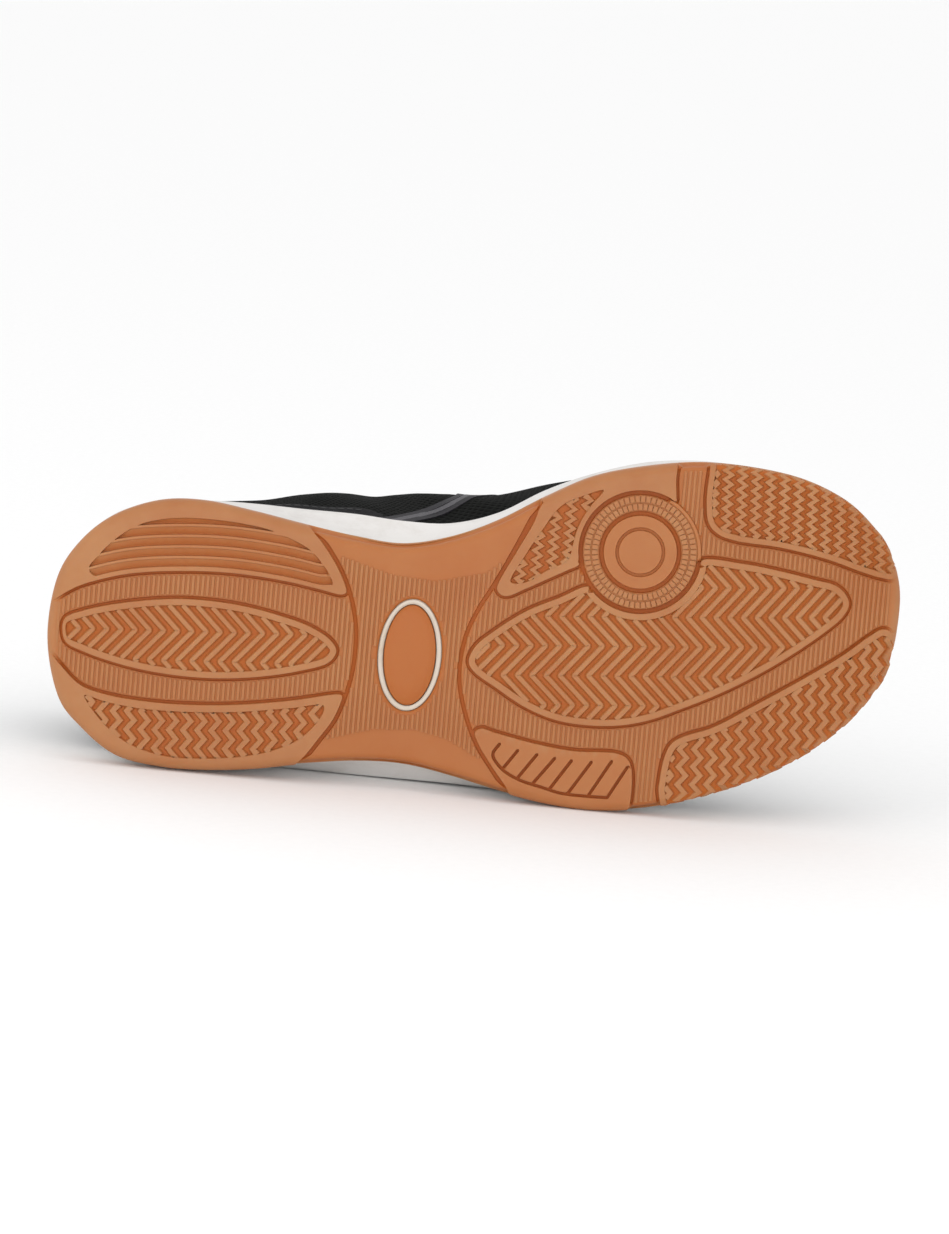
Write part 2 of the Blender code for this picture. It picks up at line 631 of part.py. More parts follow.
def tube(name, path, finish):
    """A straight-sided cord along a few points, with closed ends."""
    path = np.asarray(path, float)
    along = np.gradient(path, axis=0)
    along /= np.linalg.norm(along, axis=1, keepdims=True)
    rings = []
    turns = np.linspace(0, 2 * math.pi, LACE_SIDES, endpoint=False)
    for point, heading in zip(path, along):
        side = np.cross(heading, (0.0, 0.0, 1.0))
        side /= np.linalg.norm(side)
        lift = np.cross(side, heading)
        spokes = np.outer(np.cos(turns), side) + np.outer(np.sin(turns), lift)
        rings.append(point + LACE_RADIUS * spokes)
    return solid(name, *sew(rings, capped=True), finish)


def make_laces(finish):
    """Crossed lace between the eyestays, from the front bar to the top eyelets, as one joined cord."""
    rows = np.array(EYELET_ROWS)
    sides = [Upper(rows), Upper(LOOP_ROWS - rows)]
    stand = EYESTAY_STEP + LACE_CLEARANCE + LACE_RADIUS
    eyelets = [side.bare(EYELET_BAND) + side.facing(EYELET_BAND) * stand for side in sides]
    edges = [side.bare(1.0) + side.facing(1.0) * stand for side in sides]

    def strand(near, far, start, end):
        """Points from an eyelet on one side over the throat to an eyelet on the other."""
        low = edges[near][start] * 0.7 + edges[near][end] * 0.3
        high = edges[far][end] * 0.7 + edges[far][start] * 0.3
        middle = (edges[0][start] + edges[0][end] + edges[1][start] + edges[1][end]) / 4
        middle = middle + np.array([0.0, 0.0, TONGUE_CROWN / 2])
        return [eyelets[near][start], low, middle, high, eyelets[far][end]]

    last = len(rows) - 1
    laces = tube("laces", strand(0, 1, last, last), finish)
    for row in range(last, 0, -1):
        for near, far in ((0, 1), (1, 0)):
            cord = tube(f"lace_strand_{row}_{near}", strand(near, far, row, row - 1), finish)
            boolean(laces, cord, "UNION")
    return laces


def balance(pieces):
    """All corners of the shoe and its centre of mass, in metres in the shoe's frame."""
    graph = bpy.context.evaluated_depsgraph_get()
    corners, moment, mass = [], np.zeros(3), 0.0
    for item, density in pieces:
        mesh = item.evaluated_get(graph).to_mesh()
        mesh.calc_loop_triangles()
        points = np.array([tuple(v.co) for v in mesh.vertices])
        corner = points[np.array([t.vertices[:] for t in mesh.loop_triangles])]
        volumes = np.einsum("ij,ij->i", corner[:, 0], np.cross(corner[:, 1], corner[:, 2])) / 6
        moment += density * (volumes[:, None] * corner.sum(axis=1) / 4).sum(axis=0)
        mass += density * volumes.sum()
        corners.append(points)
    return np.concatenate(corners), moment / mass


def lying_matrix(pieces):
    """Turns the shoe onto its outer side, on the face of its hull that its weight comes down in."""
    corners, centre = balance(pieces)
    work = bmesh.new()
    for corner in corners:
        work.verts.new(corner)
    bmesh.ops.convex_hull(work, input=work.verts)
    best = None
    for face in work.faces:
        face.normal_update()
        normal = np.array(face.normal)
        a, b, c = (np.array(v.co) for v in face.verts)
        foot = centre - normal * ((centre - a) @ normal)
        turns = [np.cross(q - p, foot - p) @ normal for p, q in ((a, b), (b, c), (c, a))]
        if min(turns) > 0 and (best is None or normal[1] > best[1]):
            best = normal
    work.free()
    down = Vector(best)
    ahead = Vector((1.0, 0.0, 0.0))
    ahead = (ahead - down * ahead.dot(down)).normalized()
    up = -down
    turn = Matrix((ahead, up.cross(ahead), up))
    laid = corners @ np.array(turn).T
    low, high = laid.min(axis=0), laid.max(axis=0)
    move = Vector((-(low[0] + high[0]) / 2, -(low[1] + high[1]) / 2, -low[2]))
    return Matrix.Translation(move) @ turn.to_4x4()


def main():
    """Builds the pieces in the shoe's frame and lays the shoe down."""
    clear_scene()
    gum = material("gum_rubber", (0.50, 0.21, 0.085), 0.55)
    foam = material("white_foam", (0.80, 0.79, 0.77), 0.6)
    mesh = material("black_textile", (0.015, 0.015, 0.016), 0.85)
    lining = material("dark_lining", (0.03, 0.03, 0.032), 0.9)
    cord = material("black_cord", (0.02, 0.02, 0.022), 0.8)
    pieces = [
        (make_outsole(gum), RUBBER),
        (make_window_plug(gum), RUBBER),
        (make_midsole(foam), FOAM),
        (make_upper(mesh), TEXTILE),
        (make_insole(lining), FOAM),
        (make_tongue(mesh), TEXTILE),
        (make_laces(cord), TEXTILE),
    ]
    shoe = bpy.data.objects.new("shoe", None)
    bpy.context.scene.collection.objects.link(shoe)
    bpy.context.view_layer.update()
    shoe.matrix_world = lying_matrix(pieces)
    for item in bpy.data.objects:
        if item is not shoe:
            item.parent = shoe


main()
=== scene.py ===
"""Looks of an indoor court shoe for the left foot, lying on its outer side with the tread to the camera.

Shapes are worked out in the shoe's own frame, in millimetres: x from the back of the heel to the toe, y from
the inner side of the foot (minus) to the outer side (plus), z up from the ground under the tread. LYING takes
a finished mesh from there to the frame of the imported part, in metres.
"""

import logging
import math
from dataclasses import dataclass, field
from enum import Enum
from functools import cache, cached_property
from typing import Any, NamedTuple, Sequence

import bmesh
import bpy
import numpy as np
from bpy.types import Material, Mesh, Node, NodeSocket, NodeTree, Object
from mathutils import Matrix, Vector
from mathutils.geometry import delaunay_2d_cdt


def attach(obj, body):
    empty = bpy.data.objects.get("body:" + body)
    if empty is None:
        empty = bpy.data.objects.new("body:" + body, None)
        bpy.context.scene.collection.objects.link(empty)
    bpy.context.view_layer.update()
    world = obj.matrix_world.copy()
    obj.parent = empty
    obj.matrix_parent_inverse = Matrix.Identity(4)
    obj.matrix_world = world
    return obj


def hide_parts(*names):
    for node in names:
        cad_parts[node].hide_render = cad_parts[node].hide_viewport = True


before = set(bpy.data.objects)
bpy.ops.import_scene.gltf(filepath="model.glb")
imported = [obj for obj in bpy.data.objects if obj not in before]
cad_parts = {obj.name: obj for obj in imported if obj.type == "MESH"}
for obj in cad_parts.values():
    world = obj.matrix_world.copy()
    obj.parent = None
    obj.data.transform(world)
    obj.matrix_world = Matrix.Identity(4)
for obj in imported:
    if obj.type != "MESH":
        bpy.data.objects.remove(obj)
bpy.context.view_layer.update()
log = logging.getLogger("court_shoe")

Points = np.ndarray
Colour = tuple[float, float, float, float]
Path = tuple[Points, Points]
Pair = tuple[float, float]
Triple = tuple[float, float, float]
Run = tuple[float, ...]
Rows = tuple[Pair, ...]
MM = 0.001

# The shoe's pose on its side, resting on the sole's edge and the heel quarter of the upper
LYING = Matrix((
    (0.99541962, 0.09539263, 0.00631503, -0.12405037),
    (-0.00000001, -0.06605572, 0.99781579, -0.053365),
    (0.09560142, -0.9932456, -0.06575316, 0.03575719),
    (0.0, 0.0, 0.0, 1.0),
))


class Side(Enum):
    """Side of the foot."""

    INNER = "inner"
    OUTER = "outer"


class Outline(Enum):
    """Plan outlines of the sole."""

    TREAD = "tread"
    LIP = "lip"


class PlanRow(NamedTuple):
    """Plan at one station: the tread's edge and the midsole's lip on both sides."""

    x: float
    tread_inner: float
    tread_outer: float
    lip_inner: float
    lip_outer: float


class ProfileRow(NamedTuple):
    """Side view at one station: ground line, top of the rubber rim, midsole lip and footbed."""

    x: float
    ground: float
    rim: float
    lip: float
    bed: float


class RibRow(NamedTuple):
    """One rib of the upper, from the footbed to the top line, with the handles of its curve."""

    x: float
    top_x: float
    top_z: float
    share_inner: float
    share_outer: float
    bulge_inner: float
    bulge_outer: float
    rise: float
    spread_inner: float
    spread_outer: float
    drop: float
    padding: float


PLAN = [PlanRow(*row) for row in (
    (0.0, 0.5, 0.5, 0.5, 0.5), (3.0, -17.0, 17.5, -16.8, 17.2), (10.0, -28.0, 26.8, -27.6, 26.2),
    (20.0, -35.6, 34.8, -35.2, 33.8), (33.0, -39.8, 38.2, -38.2, 37.2), (46.0, -39.8, 39.2, -38.5, 38.4),
    (60.0, -36.8, 38.9, -37.6, 40.0), (75.0, -32.9, 37.5, -36.0, 41.4), (90.0, -29.2, 37.0, -34.6, 42.8),
    (104.0, -26.9, 38.1, -32.6, 44.0), (118.0, -29.0, 41.4, -32.0, 45.2), (132.0, -34.0, 45.6, -35.2, 46.8),
    (146.0, -41.0, 49.2, -42.0, 48.6), (160.0, -46.9, 51.1, -46.9, 49.8), (176.0, -49.9, 50.5, -50.3, 49.2),
    (192.0, -50.8, 47.1, -50.6, 46.0), (208.0, -49.0, 42.0, -48.2, 41.0), (222.0, -45.4, 35.2, -44.4, 34.0),
    (234.0, -39.2, 26.6, -38.0, 25.0), (242.0, -31.6, 18.0, -30.4, 15.2), (247.0, -24.2, 9.4, -22.6, 5.8),
    (250.0, -10.5, -10.5, -10.5, -10.5),
)]
PROFILE = [ProfileRow(*row) for row in (
    (0.0, 3.0, 12.0, 28.0, 23.5), (8.0, 0.8, 9.5, 27.2, 23.0), (16.0, 0.0, 8.0, 26.4, 22.4),
    (46.0, 0.0, 7.5, 25.6, 21.6), (76.0, 0.0, 7.0, 24.6, 20.6), (104.0, 3.0, 8.8, 23.4, 19.2),
    (132.0, 0.0, 6.5, 20.8, 16.8), (160.0, 0.0, 6.5, 18.4, 14.4), (186.0, 0.0, 7.0, 17.4, 13.4),
    (215.0, 2.4, 11.0, 19.0, 14.8), (235.0, 6.0, 16.5, 22.4, 17.8), (250.0, 10.5, 22.0, 26.4, 21.8),
)]
RIBS = [RibRow(*row) for row in (
    (0.0, 9.5, 80.0, 0.72, 0.72, 4.4, 4.4, 22.0, 6.0, 6.0, 20.0, 3.0),
    (10.0, 15.5, 79.0, 0.74, 0.74, 4.2, 4.2, 21.0, 6.5, 6.5, 19.0, 3.5),
    (20.0, 23.5, 76.0, 0.77, 0.77, 3.9, 3.8, 20.0, 7.5, 7.5, 17.0, 4.0),
    (46.0, 47.0, 67.0, 0.80, 0.82, 3.4, 3.4, 18.0, 9.5, 11.0, 14.0, 4.0),
    (60.0, 59.5, 67.0, 0.79, 0.79, 3.2, 3.2, 18.0, 13.4, 12.0, 14.0, 4.0),
    (75.0, 71.0, 75.0, 0.74, 0.67, 5.6, 2.6, 18.0, 21.2, 15.0, 15.0, 3.5),
    (90.0, 82.0, 88.0, 0.61, 0.52, 5.2, 2.0, 20.0, 30.0, 20.0, 16.0, 1.5),
    (98.0, 88.0, 93.5, 0.56, 0.45, 4.2, 2.0, 21.0, 32.5, 22.0, 15.0, 0.4),
    (118.0, 104.0, 87.0, 0.49, 0.34, 6.1, 2.0, 21.0, 39.0, 24.0, 12.0, 0.0),
    (130.0, 114.0, 82.0, 0.415, 0.295, 6.8, 2.2, 20.6, 39.0, 25.0, 10.5, 0.0),
    (146.0, 127.0, 76.0, 0.32, 0.24, 4.1, 2.6, 20.0, 31.0, 26.0, 9.0, 0.0),
    (176.0, 147.0, 66.5, 0.235, 0.18, 3.0, 3.0, 19.0, 29.0, 28.0, 7.0, 0.0),
    (208.0, 160.0, 60.5, 0.20, 0.15, 3.0, 3.0, 19.0, 33.0, 31.0, 8.0, 0.0),
    (234.0, 165.6, 58.0, 0.185, 0.08, 3.0, 3.0, 19.0, 37.0, 35.0, 10.0, 0.0),
    (250.0, 167.0, 57.5, 0.24, 0.24, 3.0, 3.0, 19.0, 39.0, 39.0, 11.0, 0.0),
)]
# Rows round a plan outline, and the span across the shoe that the tread fits in
ROWS = 2 * (len(PLAN) - 1)
ACROSS = (-52.0, 53.0)


def along(table: Sequence[NamedTuple], column: str, x: Any) -> Points:
    """Value of a table's column at x, on a curve through the rows that never overshoots them.

    Args:
        table: rows that start with x.
        column: name of the column.
        x: stations in millimetres.

    Returns:
        One value for each station.
    """
    knots = np.array([row.x for row in table])
    values = np.array([getattr(row, column) for row in table])
    width = np.diff(knots)
    slopes = np.diff(values) / width
    tangents = np.concatenate([slopes[:1], np.zeros(len(knots) - 2), slopes[-1:]])
    before, after = slopes[:-1], slopes[1:]
    same = before * after > 0
    tangents[1:-1][same] = (2 * before * after)[same] / (before + after)[same]
    x = np.clip(np.asarray(x, float), knots[0], knots[-1])
    k = np.clip(np.searchsorted(knots, x, side="right") - 1, 0, len(slopes) - 1)
    t = (x - knots[k]) / width[k]
    start = (1 + 2 * t) * (1 - t) ** 2 * values[k] + t * (1 - t) ** 2 * width[k] * tangents[k]
    return start + t**2 * (3 - 2 * t) * values[k + 1] + t**2 * (t - 1) * width[k] * tangents[k + 1]


def height(column: str, x: Any) -> Points:
    """A side-profile height at x."""
    return along(PROFILE, column, x)


def positions(samples: int) -> Points:
    """Row positions all round the sole, with a number of samples to a row."""
    return np.arange(ROWS * samples) / samples


def unit(vectors: Points) -> Points:
    """The vectors at length one."""
    return vectors / np.linalg.norm(vectors, axis=-1, keepdims=True)


def run_along(path: Points) -> Points:
    """Distance along a path at each of its points."""
    return np.concatenate([[0.0], np.cumsum(np.linalg.norm(np.diff(path, axis=0), axis=1))])


def neighbours(count: int, start: int = 0) -> list[tuple[int, int]]:
    """Pairs of neighbours round a closed loop of points."""
    return [(start + k, start + (k + 1) % count) for k in range(count)]


def round_loop(points: Any, u: Any) -> Points:
    """Points of a closed Catmull-Rom curve.

    Args:
        points: the curve's own points.
        u: parameters that count those points.

    Returns:
        One point for each parameter.
    """
    points = np.asarray(points, float)
    u = np.atleast_1d(np.asarray(u, float))
    first = np.floor(u).astype(int)
    t = (u - first)[:, None]
    before, start, end, after = (points[(first + step) % len(points)] for step in (-1, 0, 1, 2))
    bend, turn = 2 * before - 5 * start + 4 * end - after, 3 * (start - end) + after - before
    return 0.5 * (2 * start + (end - before) * t + bend * t**2 + turn * t**3)


def plan_loop(outline: Outline, u: Any) -> Points:
    """Plan outline from the heel round the outer side to the toe and back.

    Args:
        outline: which outline.
        u: row positions.

    Returns:
        One point for each position.
    """
    kind = outline.value
    outer = [(row.x, getattr(row, f"{kind}_outer")) for row in PLAN]
    return round_loop(outer + [(row.x, getattr(row, f"{kind}_inner")) for row in PLAN[-2:0:-1]], u)


def outward(loop: Points) -> Points:
    """Unit normals of a closed outline, pointing out of it.

    Args:
        loop: points in plan, in either direction.

    Returns:
        One normal for each point.
    """
    ahead = np.roll(loop, -1, axis=0)
    area = (loop[:, 0] * ahead[:, 1] - ahead[:, 0] * loop[:, 1]).sum()
    run = ahead - np.roll(loop, 1, axis=0)
    normal = np.stack([-run[:, 1], run[:, 0]], axis=1) * (1.0 if area < 0 else -1.0)
    return unit(normal)


def grown(loop: Points, distance: float) -> Points:
    """The closed outline moved outwards."""
    return loop + distance * outward(loop)


def flowing(points: Any, closed: bool, step: float = 1.0) -> Points:
    """A smooth line through points, without loops where they are close together.

    Args:
        points: the points, in plan or in space.
        closed: whether the line returns to its start.
        step: longest distance between two points of the line.

    Returns:
        Points of the line.
    """
    p = np.asarray(points, float)
    ends = (p[-1:], p[:2]) if closed else (2 * p[:1] - p[1:2], 2 * p[-1:] - p[-2:-1])
    p = np.concatenate([ends[0], p, ends[1]])
    knot = np.concatenate([[0.0], np.cumsum(np.sqrt(np.linalg.norm(np.diff(p, axis=0), axis=1)))])
    made = []
    for k in range(1, len(p) - 2):
        (a, b, c, d), (ta, tb, tc, td) = p[k - 1 : k + 3], knot[k - 1 : k + 3]
        count = max(1, math.ceil(np.linalg.norm(c - b) / step))
        t = np.linspace(tb, tc, count, endpoint=False)[:, None]
        ab, bc, cd = (
            ((t1 - t) * q0 + (t - t0) * q1) / (t1 - t0)
            for q0, q1, t0, t1 in ((a, b, ta, tb), (b, c, tb, tc), (c, d, tc, td))
        )
        abc, bcd = ((tc - t) * ab + (t - ta) * bc) / (tc - ta), ((td - t) * bc + (t - tb) * cd) / (td - tb)
        made.append(((tc - t) * abc + (t - tb) * bcd) / (tc - tb))
    return np.concatenate(made if closed else [*made, p[-2:-1]])


def capsule(path: Points, margin: float) -> Points:
    """Closed outline that runs round an open path at a margin.

    Args:
        path: points of the path in plan.
        margin: distance from it.

    Returns:
        Points of the outline.
    """
    ahead = unit(np.gradient(path, axis=0))
    side = np.stack([-ahead[:, 1], ahead[:, 0]], axis=1)
    ends = [path[-1] + ahead[-1] * margin, path[0] - ahead[0] * margin]
    return np.concatenate([path + side * margin, ends[:1], (path - side * margin)[::-1], ends[1:]])


def is_inside(outline: Points, points: Points) -> np.ndarray:
    """Which of the points lie inside a closed outline.

    Args:
        outline: closed outline in plan.
        points: points in plan.

    Returns:
        One flag for each point.
    """
    x, y = points[:, 0], points[:, 1]
    inside = np.zeros(len(points), bool)
    for (ax, ay), (bx, by) in zip(outline, np.roll(outline, -1, axis=0)):
        if ay != by:
            inside ^= ((ay > y) != (by > y)) & (x < ax + (y - ay) * (bx - ax) / (by - ay))
    return inside


def distance_to(line: Points, points: Points, closed: bool) -> tuple[Points, Points]:
    """Distance of points from a line in plan, and the nearest spot on it.

    Args:
        line: points of the line.
        points: points to measure from.
        closed: whether the line returns to its start.

    Returns:
        Distances, and positions on the line that count its points.
    """
    far = np.full(len(points), 1e9)
    spot = np.zeros(len(points))
    ends = np.roll(line, -1, axis=0) if closed else line[1:]
    for k, (a, b) in enumerate(zip(line, ends)):
        run = b - a
        t = np.clip((points - a) @ run / max(run @ run, 1e-12), 0.0, 1.0)
        near = np.hypot(*(points - a - t[:, None] * run).T)
        closer = near < far
        far[closer], spot[closer] = near[closer], (k + t)[closer]
    return far, spot


@dataclass
class Draft:
    """A mesh in the making: points in millimetres, faces, and for each face its corners on the flat cloth."""

    points: Points
    faces: list[tuple[int, ...]]
    cloth: list[list[Pair]] = field(default_factory=list)
    worn: list[int] = field(default_factory=list)


def loft(rings: Sequence[Points], is_loop: bool = False, capped: bool = False) -> Draft:
    """Faces between closed rings of equal length.

    Args:
        rings: the rings in order.
        is_loop: whether the last ring joins the first.
        capped: whether the end rings are closed from side to side.

    Returns:
        The draft, with distances along and across the rings as its flat cloth.
    """
    stack = np.asarray(rings, float)
    count, size = stack.shape[:2]
    middle = stack[count // 3]
    run = run_along(np.concatenate([middle, middle[:1]]))
    climb = np.linalg.norm(np.roll(stack, -1, axis=0) - stack, axis=2).mean(axis=1)
    climb = np.concatenate([[0.0], np.cumsum(climb)])
    draft = Draft(stack.reshape(-1, 3), [])
    for row in range(count if is_loop else count - 1):
        low, high = row * size, (row + 1) % count * size
        for k in range(size):
            after = (k + 1) % size
            draft.faces.append((low + k, low + after, high + after, high + k))
            corners = ((k, row), (k + 1, row), (k + 1, row + 1), (k, row + 1))
            draft.cloth.append([(run[c], climb[r]) for c, r in corners])
            draft.worn.append(row)
    for base in (0, (count - 1) * size) if capped else ():
        across = [(base, base + 1, base + size - 1)]
        for k in range(1, size // 2 - 1):
            across.append((base + k, base + k + 1, base + size - k - 1, base + size - k))
        if size % 2 == 0:
            across.append((base + size // 2 - 1, base + size // 2, base + size // 2 + 1))
        for face in across:
            draft.faces.append(face)
            draft.cloth.append([tuple(draft.points[k, :2]) for k in face])
            draft.worn.append(0 if base == 0 else count - 1)
    return draft


def ring_at(loop: Points, column: str, lift: float = 0.0) -> Points:
    """A plan outline lifted onto a line of the side profile."""
    return np.column_stack([loop, height(column, loop[:, 0]) + lift])


def linear(code: str) -> Colour:
    """Linear colour of an sRGB hex code.

    Args:
        code: six hex digits after a hash.

    Returns:
        Red, green, blue and alpha.
    """
    parts = [int(code[k : k + 2], 16) / 255 for k in (1, 3, 5)]
    red, green, blue = (c / 12.92 if c <= 0.04045 else ((c + 0.055) / 1.055) ** 2.4 for c in parts)
    return red, green, blue, 1.0


def add_node(tree: NodeTree, kind: str, inputs: dict[Any, Any] | None = None,
             **settings: Any) -> Any:
    """Adds a node with its settings, values and links.

    Args:
        tree: the node tree.
        kind: Blender's name for the node.
        inputs: by socket name or number, a value, a socket to link from, or a node to link from by its
            first output.
        settings: the node's own properties.

    Returns:
        The node.
    """
    made = tree.nodes.new(kind)
    for name, value in settings.items():
        setattr(made, name, value)
    for key, value in (inputs or {}).items():
        value = value.outputs[0] if isinstance(value, Node) else value
        if isinstance(value, NodeSocket):
            tree.links.new(value, made.inputs[key])
        else:
            made.inputs[key].default_value = value
    return made


@dataclass(frozen=True)
class Recipe:
    """The nodes of one material in the making."""

    tree: NodeTree
    shader: Node

    def node(self, kind: str, inputs: dict[Any, Any] | None = None, **settings: Any) -> Any:
        """Adds a node to the tree."""
        return add_node(self.tree, kind, inputs, **settings)

    @cached_property
    def place(self) -> Any:
        """Socket of the place on the piece, in metres."""
        return self.node("ShaderNodeTexCoord").outputs["Object"]

    def feed(self, name: str, socket: Any) -> None:
        """Links a socket to an input of the shader."""
        self.tree.links.new(socket, self.shader.inputs[name])

    def tune(self, **values: Any) -> None:
        """Sets values of the shader, with underscores for the spaces in their names."""
        for name, value in values.items():
            self.shader.inputs[name.replace("_", " ")].default_value = value

    def between(self, value: Any, span: Pair, low: Any, high: str) -> tuple[Any, Any]:
        """A share that climbs with a value, and the colour at that share between two others.

        Args:
            value: socket of the value.
            span: values at which the share is 0 and 1.
            low: colour at 0, as a hex code or a socket.
            high: colour at 1, as a hex code.

        Returns:
            Sockets of the share and of the colour.
        """
        share = self.node("ShaderNodeMapRange", {0: value, 1: span[0], 2: span[1]}).outputs["Result"]
        start = linear(low) if isinstance(low, str) else low
        colour = self.node("ShaderNodeMix", {0: share, 6: start, 7: linear(high)}, data_type="RGBA")
        return share, colour.outputs[2]

    def coat(self, colour: Any, relief: Any, strength: float, depth: float, sunk: bool = False) -> None:
        """Gives the shader its colour and the fine relief that breaks the light.

        Args:
            colour: socket of the colour.
            relief: socket of the relief's height.
            strength: how much of the relief shows.
            depth: its depth in millimetres.
            sunk: whether high values lie low.
        """
        bump = self.node("ShaderNodeBump", {
            "Height": relief, "Strength": strength, "Distance": depth * MM}, invert=sunk)
        self.feed("Base Color", colour)
        self.feed("Normal", bump.outputs["Normal"])


def per_mm(size: float) -> float:
    """Texture scale, on coordinates in metres, of a pattern that repeats every size millimetres."""
    return 1000.0 / size


@dataclass(frozen=True)
class Finish:
    """A material with its own node tree."""

    name: str = "finish"
    roughness: float = 0.6
    ior: float = 1.5

    def dress(self, mix: Recipe) -> None:
        """Adds the finish's own nodes."""

    @cached_property
    def material(self) -> Material:
        """The Blender material, made once."""
        made = bpy.data.materials.new(self.name)
        made.use_nodes = True
        shader = made.node_tree.nodes["Principled BSDF"]
        mix = Recipe(made.node_tree, shader)
        mix.tune(Roughness=self.roughness, IOR=self.ior)
        self.dress(mix)
        return made


@dataclass(frozen=True)
class GumRubber(Finish):
    """Moulded gum rubber: a warm, slightly see-through amber, paler where worn, with shade painted darker and
    redder into the cuts.
    """

    name: str = "gum_rubber_moulded"
    roughness: float = 0.52
    ior: float = 1.52
    worn: str = "#AD7C54"
    fresh: str = "#A46D45"
    # Painted shade: the recess attribute mixes the cuts towards these darker, redder colours
    deep: str = "#AB5C22"
    groove: str = "#994A10"
    cloud_mm: float = 26.0
    grain_mm: float = 0.9
    bloom_span: Pair = (0.32, 0.68)
    cut_shade_span: Pair = (0.0, 0.8)
    groove_shade_span: Pair = (0.86, 1.06)
    gloss_span: Pair = (0.46, 0.6)
    grain_depth: float = 0.05
    glow_mm: float = 2.2

    def dress(self, mix: Recipe) -> None:
        """Tops are paler than cuts, which get painted shade, clouds of bloom drift over both, and a fine
        grain breaks the shine.

        Args:
            mix: the material's nodes.
        """
        cloud = mix.node("ShaderNodeTexNoise", {
            "Vector": mix.place, "Scale": per_mm(self.cloud_mm), "Detail": 4.0, "Roughness": 0.6})
        grain = mix.node("ShaderNodeTexNoise", {
            "Vector": mix.place, "Scale": per_mm(self.grain_mm), "Detail": 3.0, "Roughness": 0.65})
        cut = mix.node("ShaderNodeAttribute", attribute_name="recess").outputs["Fac"]
        _, colour = mix.between(cloud, self.bloom_span, self.fresh, self.worn)
        # Painted shade in the cuts, driven by the recess attribute
        _, colour = mix.between(cut, self.cut_shade_span, colour, self.deep)
        _, colour = mix.between(cut, self.groove_shade_span, colour, self.groove)
        mix.coat(colour, grain, 0.35, self.grain_depth)
        shine, dull = self.gloss_span
        gloss = mix.node("ShaderNodeMapRange", {0: cloud, 1: 0.3, 2: 0.7, 3: shine, 4: dull})
        mix.feed("Roughness", gloss.outputs["Result"])
        mix.tune(Specular_IOR_Level=0.2, Subsurface_Weight=0.26, Subsurface_Radius=(1.0, 0.42, 0.16),
                 Subsurface_Scale=self.glow_mm * MM)


@dataclass(frozen=True)
class MouldedFoam(Finish):
    """Compression-moulded EVA foam: off-white, matt, with the mould's faint pebble and light scuffs."""

    name: str = "eva_foam_white"
    roughness: float = 0.62
    ior: float = 1.45
    clean: str = "#DAD7D4"
    scuffed: str = "#CAC5C0"
    scuff_mm: float = 14.0
    pebble_mm: float = 1.1
    scuff_span: Pair = (0.5, 0.78)
    pebble_depth: float = 0.06
    glow_mm: float = 1.5

    def dress(self, mix: Recipe) -> None:
        """Scuffs grey the white a little, and the pebble breaks the light on it.

        Args:
            mix: the material's nodes.
        """
        scuff = mix.node("ShaderNodeTexNoise", {
            "Vector": mix.place, "Scale": per_mm(self.scuff_mm), "Detail": 6.0, "Roughness": 0.7})
        pebble = mix.node("ShaderNodeTexVoronoi", {
            "Vector": mix.place, "Scale": per_mm(self.pebble_mm)})
        _, colour = mix.between(scuff, self.scuff_span, self.clean, self.scuffed)
        mix.coat(colour, pebble, 0.25, self.pebble_depth)
        mix.tune(Subsurface_Weight=0.12, Subsurface_Radius=(1.0, 0.95, 0.9),
                 Subsurface_Scale=self.glow_mm * MM)


@dataclass(frozen=True)
class KnittedMesh(Finish):
    """Knitted polyester spacer mesh: rows of small oval holes between soft yarn, near black and dull."""

    name: str = "polyester_mesh_black"
    roughness: float = 0.86
    ior: float = 1.5
    yarn: str = "#0F100E"
    hole: str = "#050505"
    sheen: str = "#4A4D49"
    # A real knit repeats every millimetre or less, which is too fine to show
    pitch_mm: float = 1.5
    slant: float = 0.62
    hole_shade_span: Pair = (0.28, 0.6)
    hole_depth: float = 0.5

    def dress(self, mix: Recipe) -> None:
        """Two crossed waves on the flat cloth make the staggered holes, painted dark as the shade inside
        them, and raise the yarn between them.

        Args:
            mix: the material's nodes.
        """
        cloth = mix.node("ShaderNodeUVMap", uv_map="cloth").outputs["UV"]
        waves = []
        for turn in (self.slant, -self.slant):
            turned = mix.node("ShaderNodeMapping", {"Vector": cloth, "Rotation": (0.0, 0.0, turn)})
            # A wave texture repeats every pi / 10 units at scale 1
            waves.append(mix.node("ShaderNodeTexWave", {
                "Vector": turned.outputs["Vector"], "Scale": per_mm(self.pitch_mm) * math.pi / 10,
                "Distortion": 0.6, "Detail": 1.0, "Detail Scale": 3.0}).outputs["Fac"])
        knit = mix.node("ShaderNodeMath", {0: waves[0], 1: waves[1]}, operation="MULTIPLY")
        # Painted shade: the holes take the darkest colour
        _, colour = mix.between(knit, self.hole_shade_span, self.yarn, self.hole)
        mix.coat(colour, knit, 0.9, self.hole_depth, sunk=True)
        mix.tune(Specular_IOR_Level=0.08, Sheen_Weight=0.02, Sheen_Roughness=0.5,
                 Sheen_Tint=linear(self.sheen))


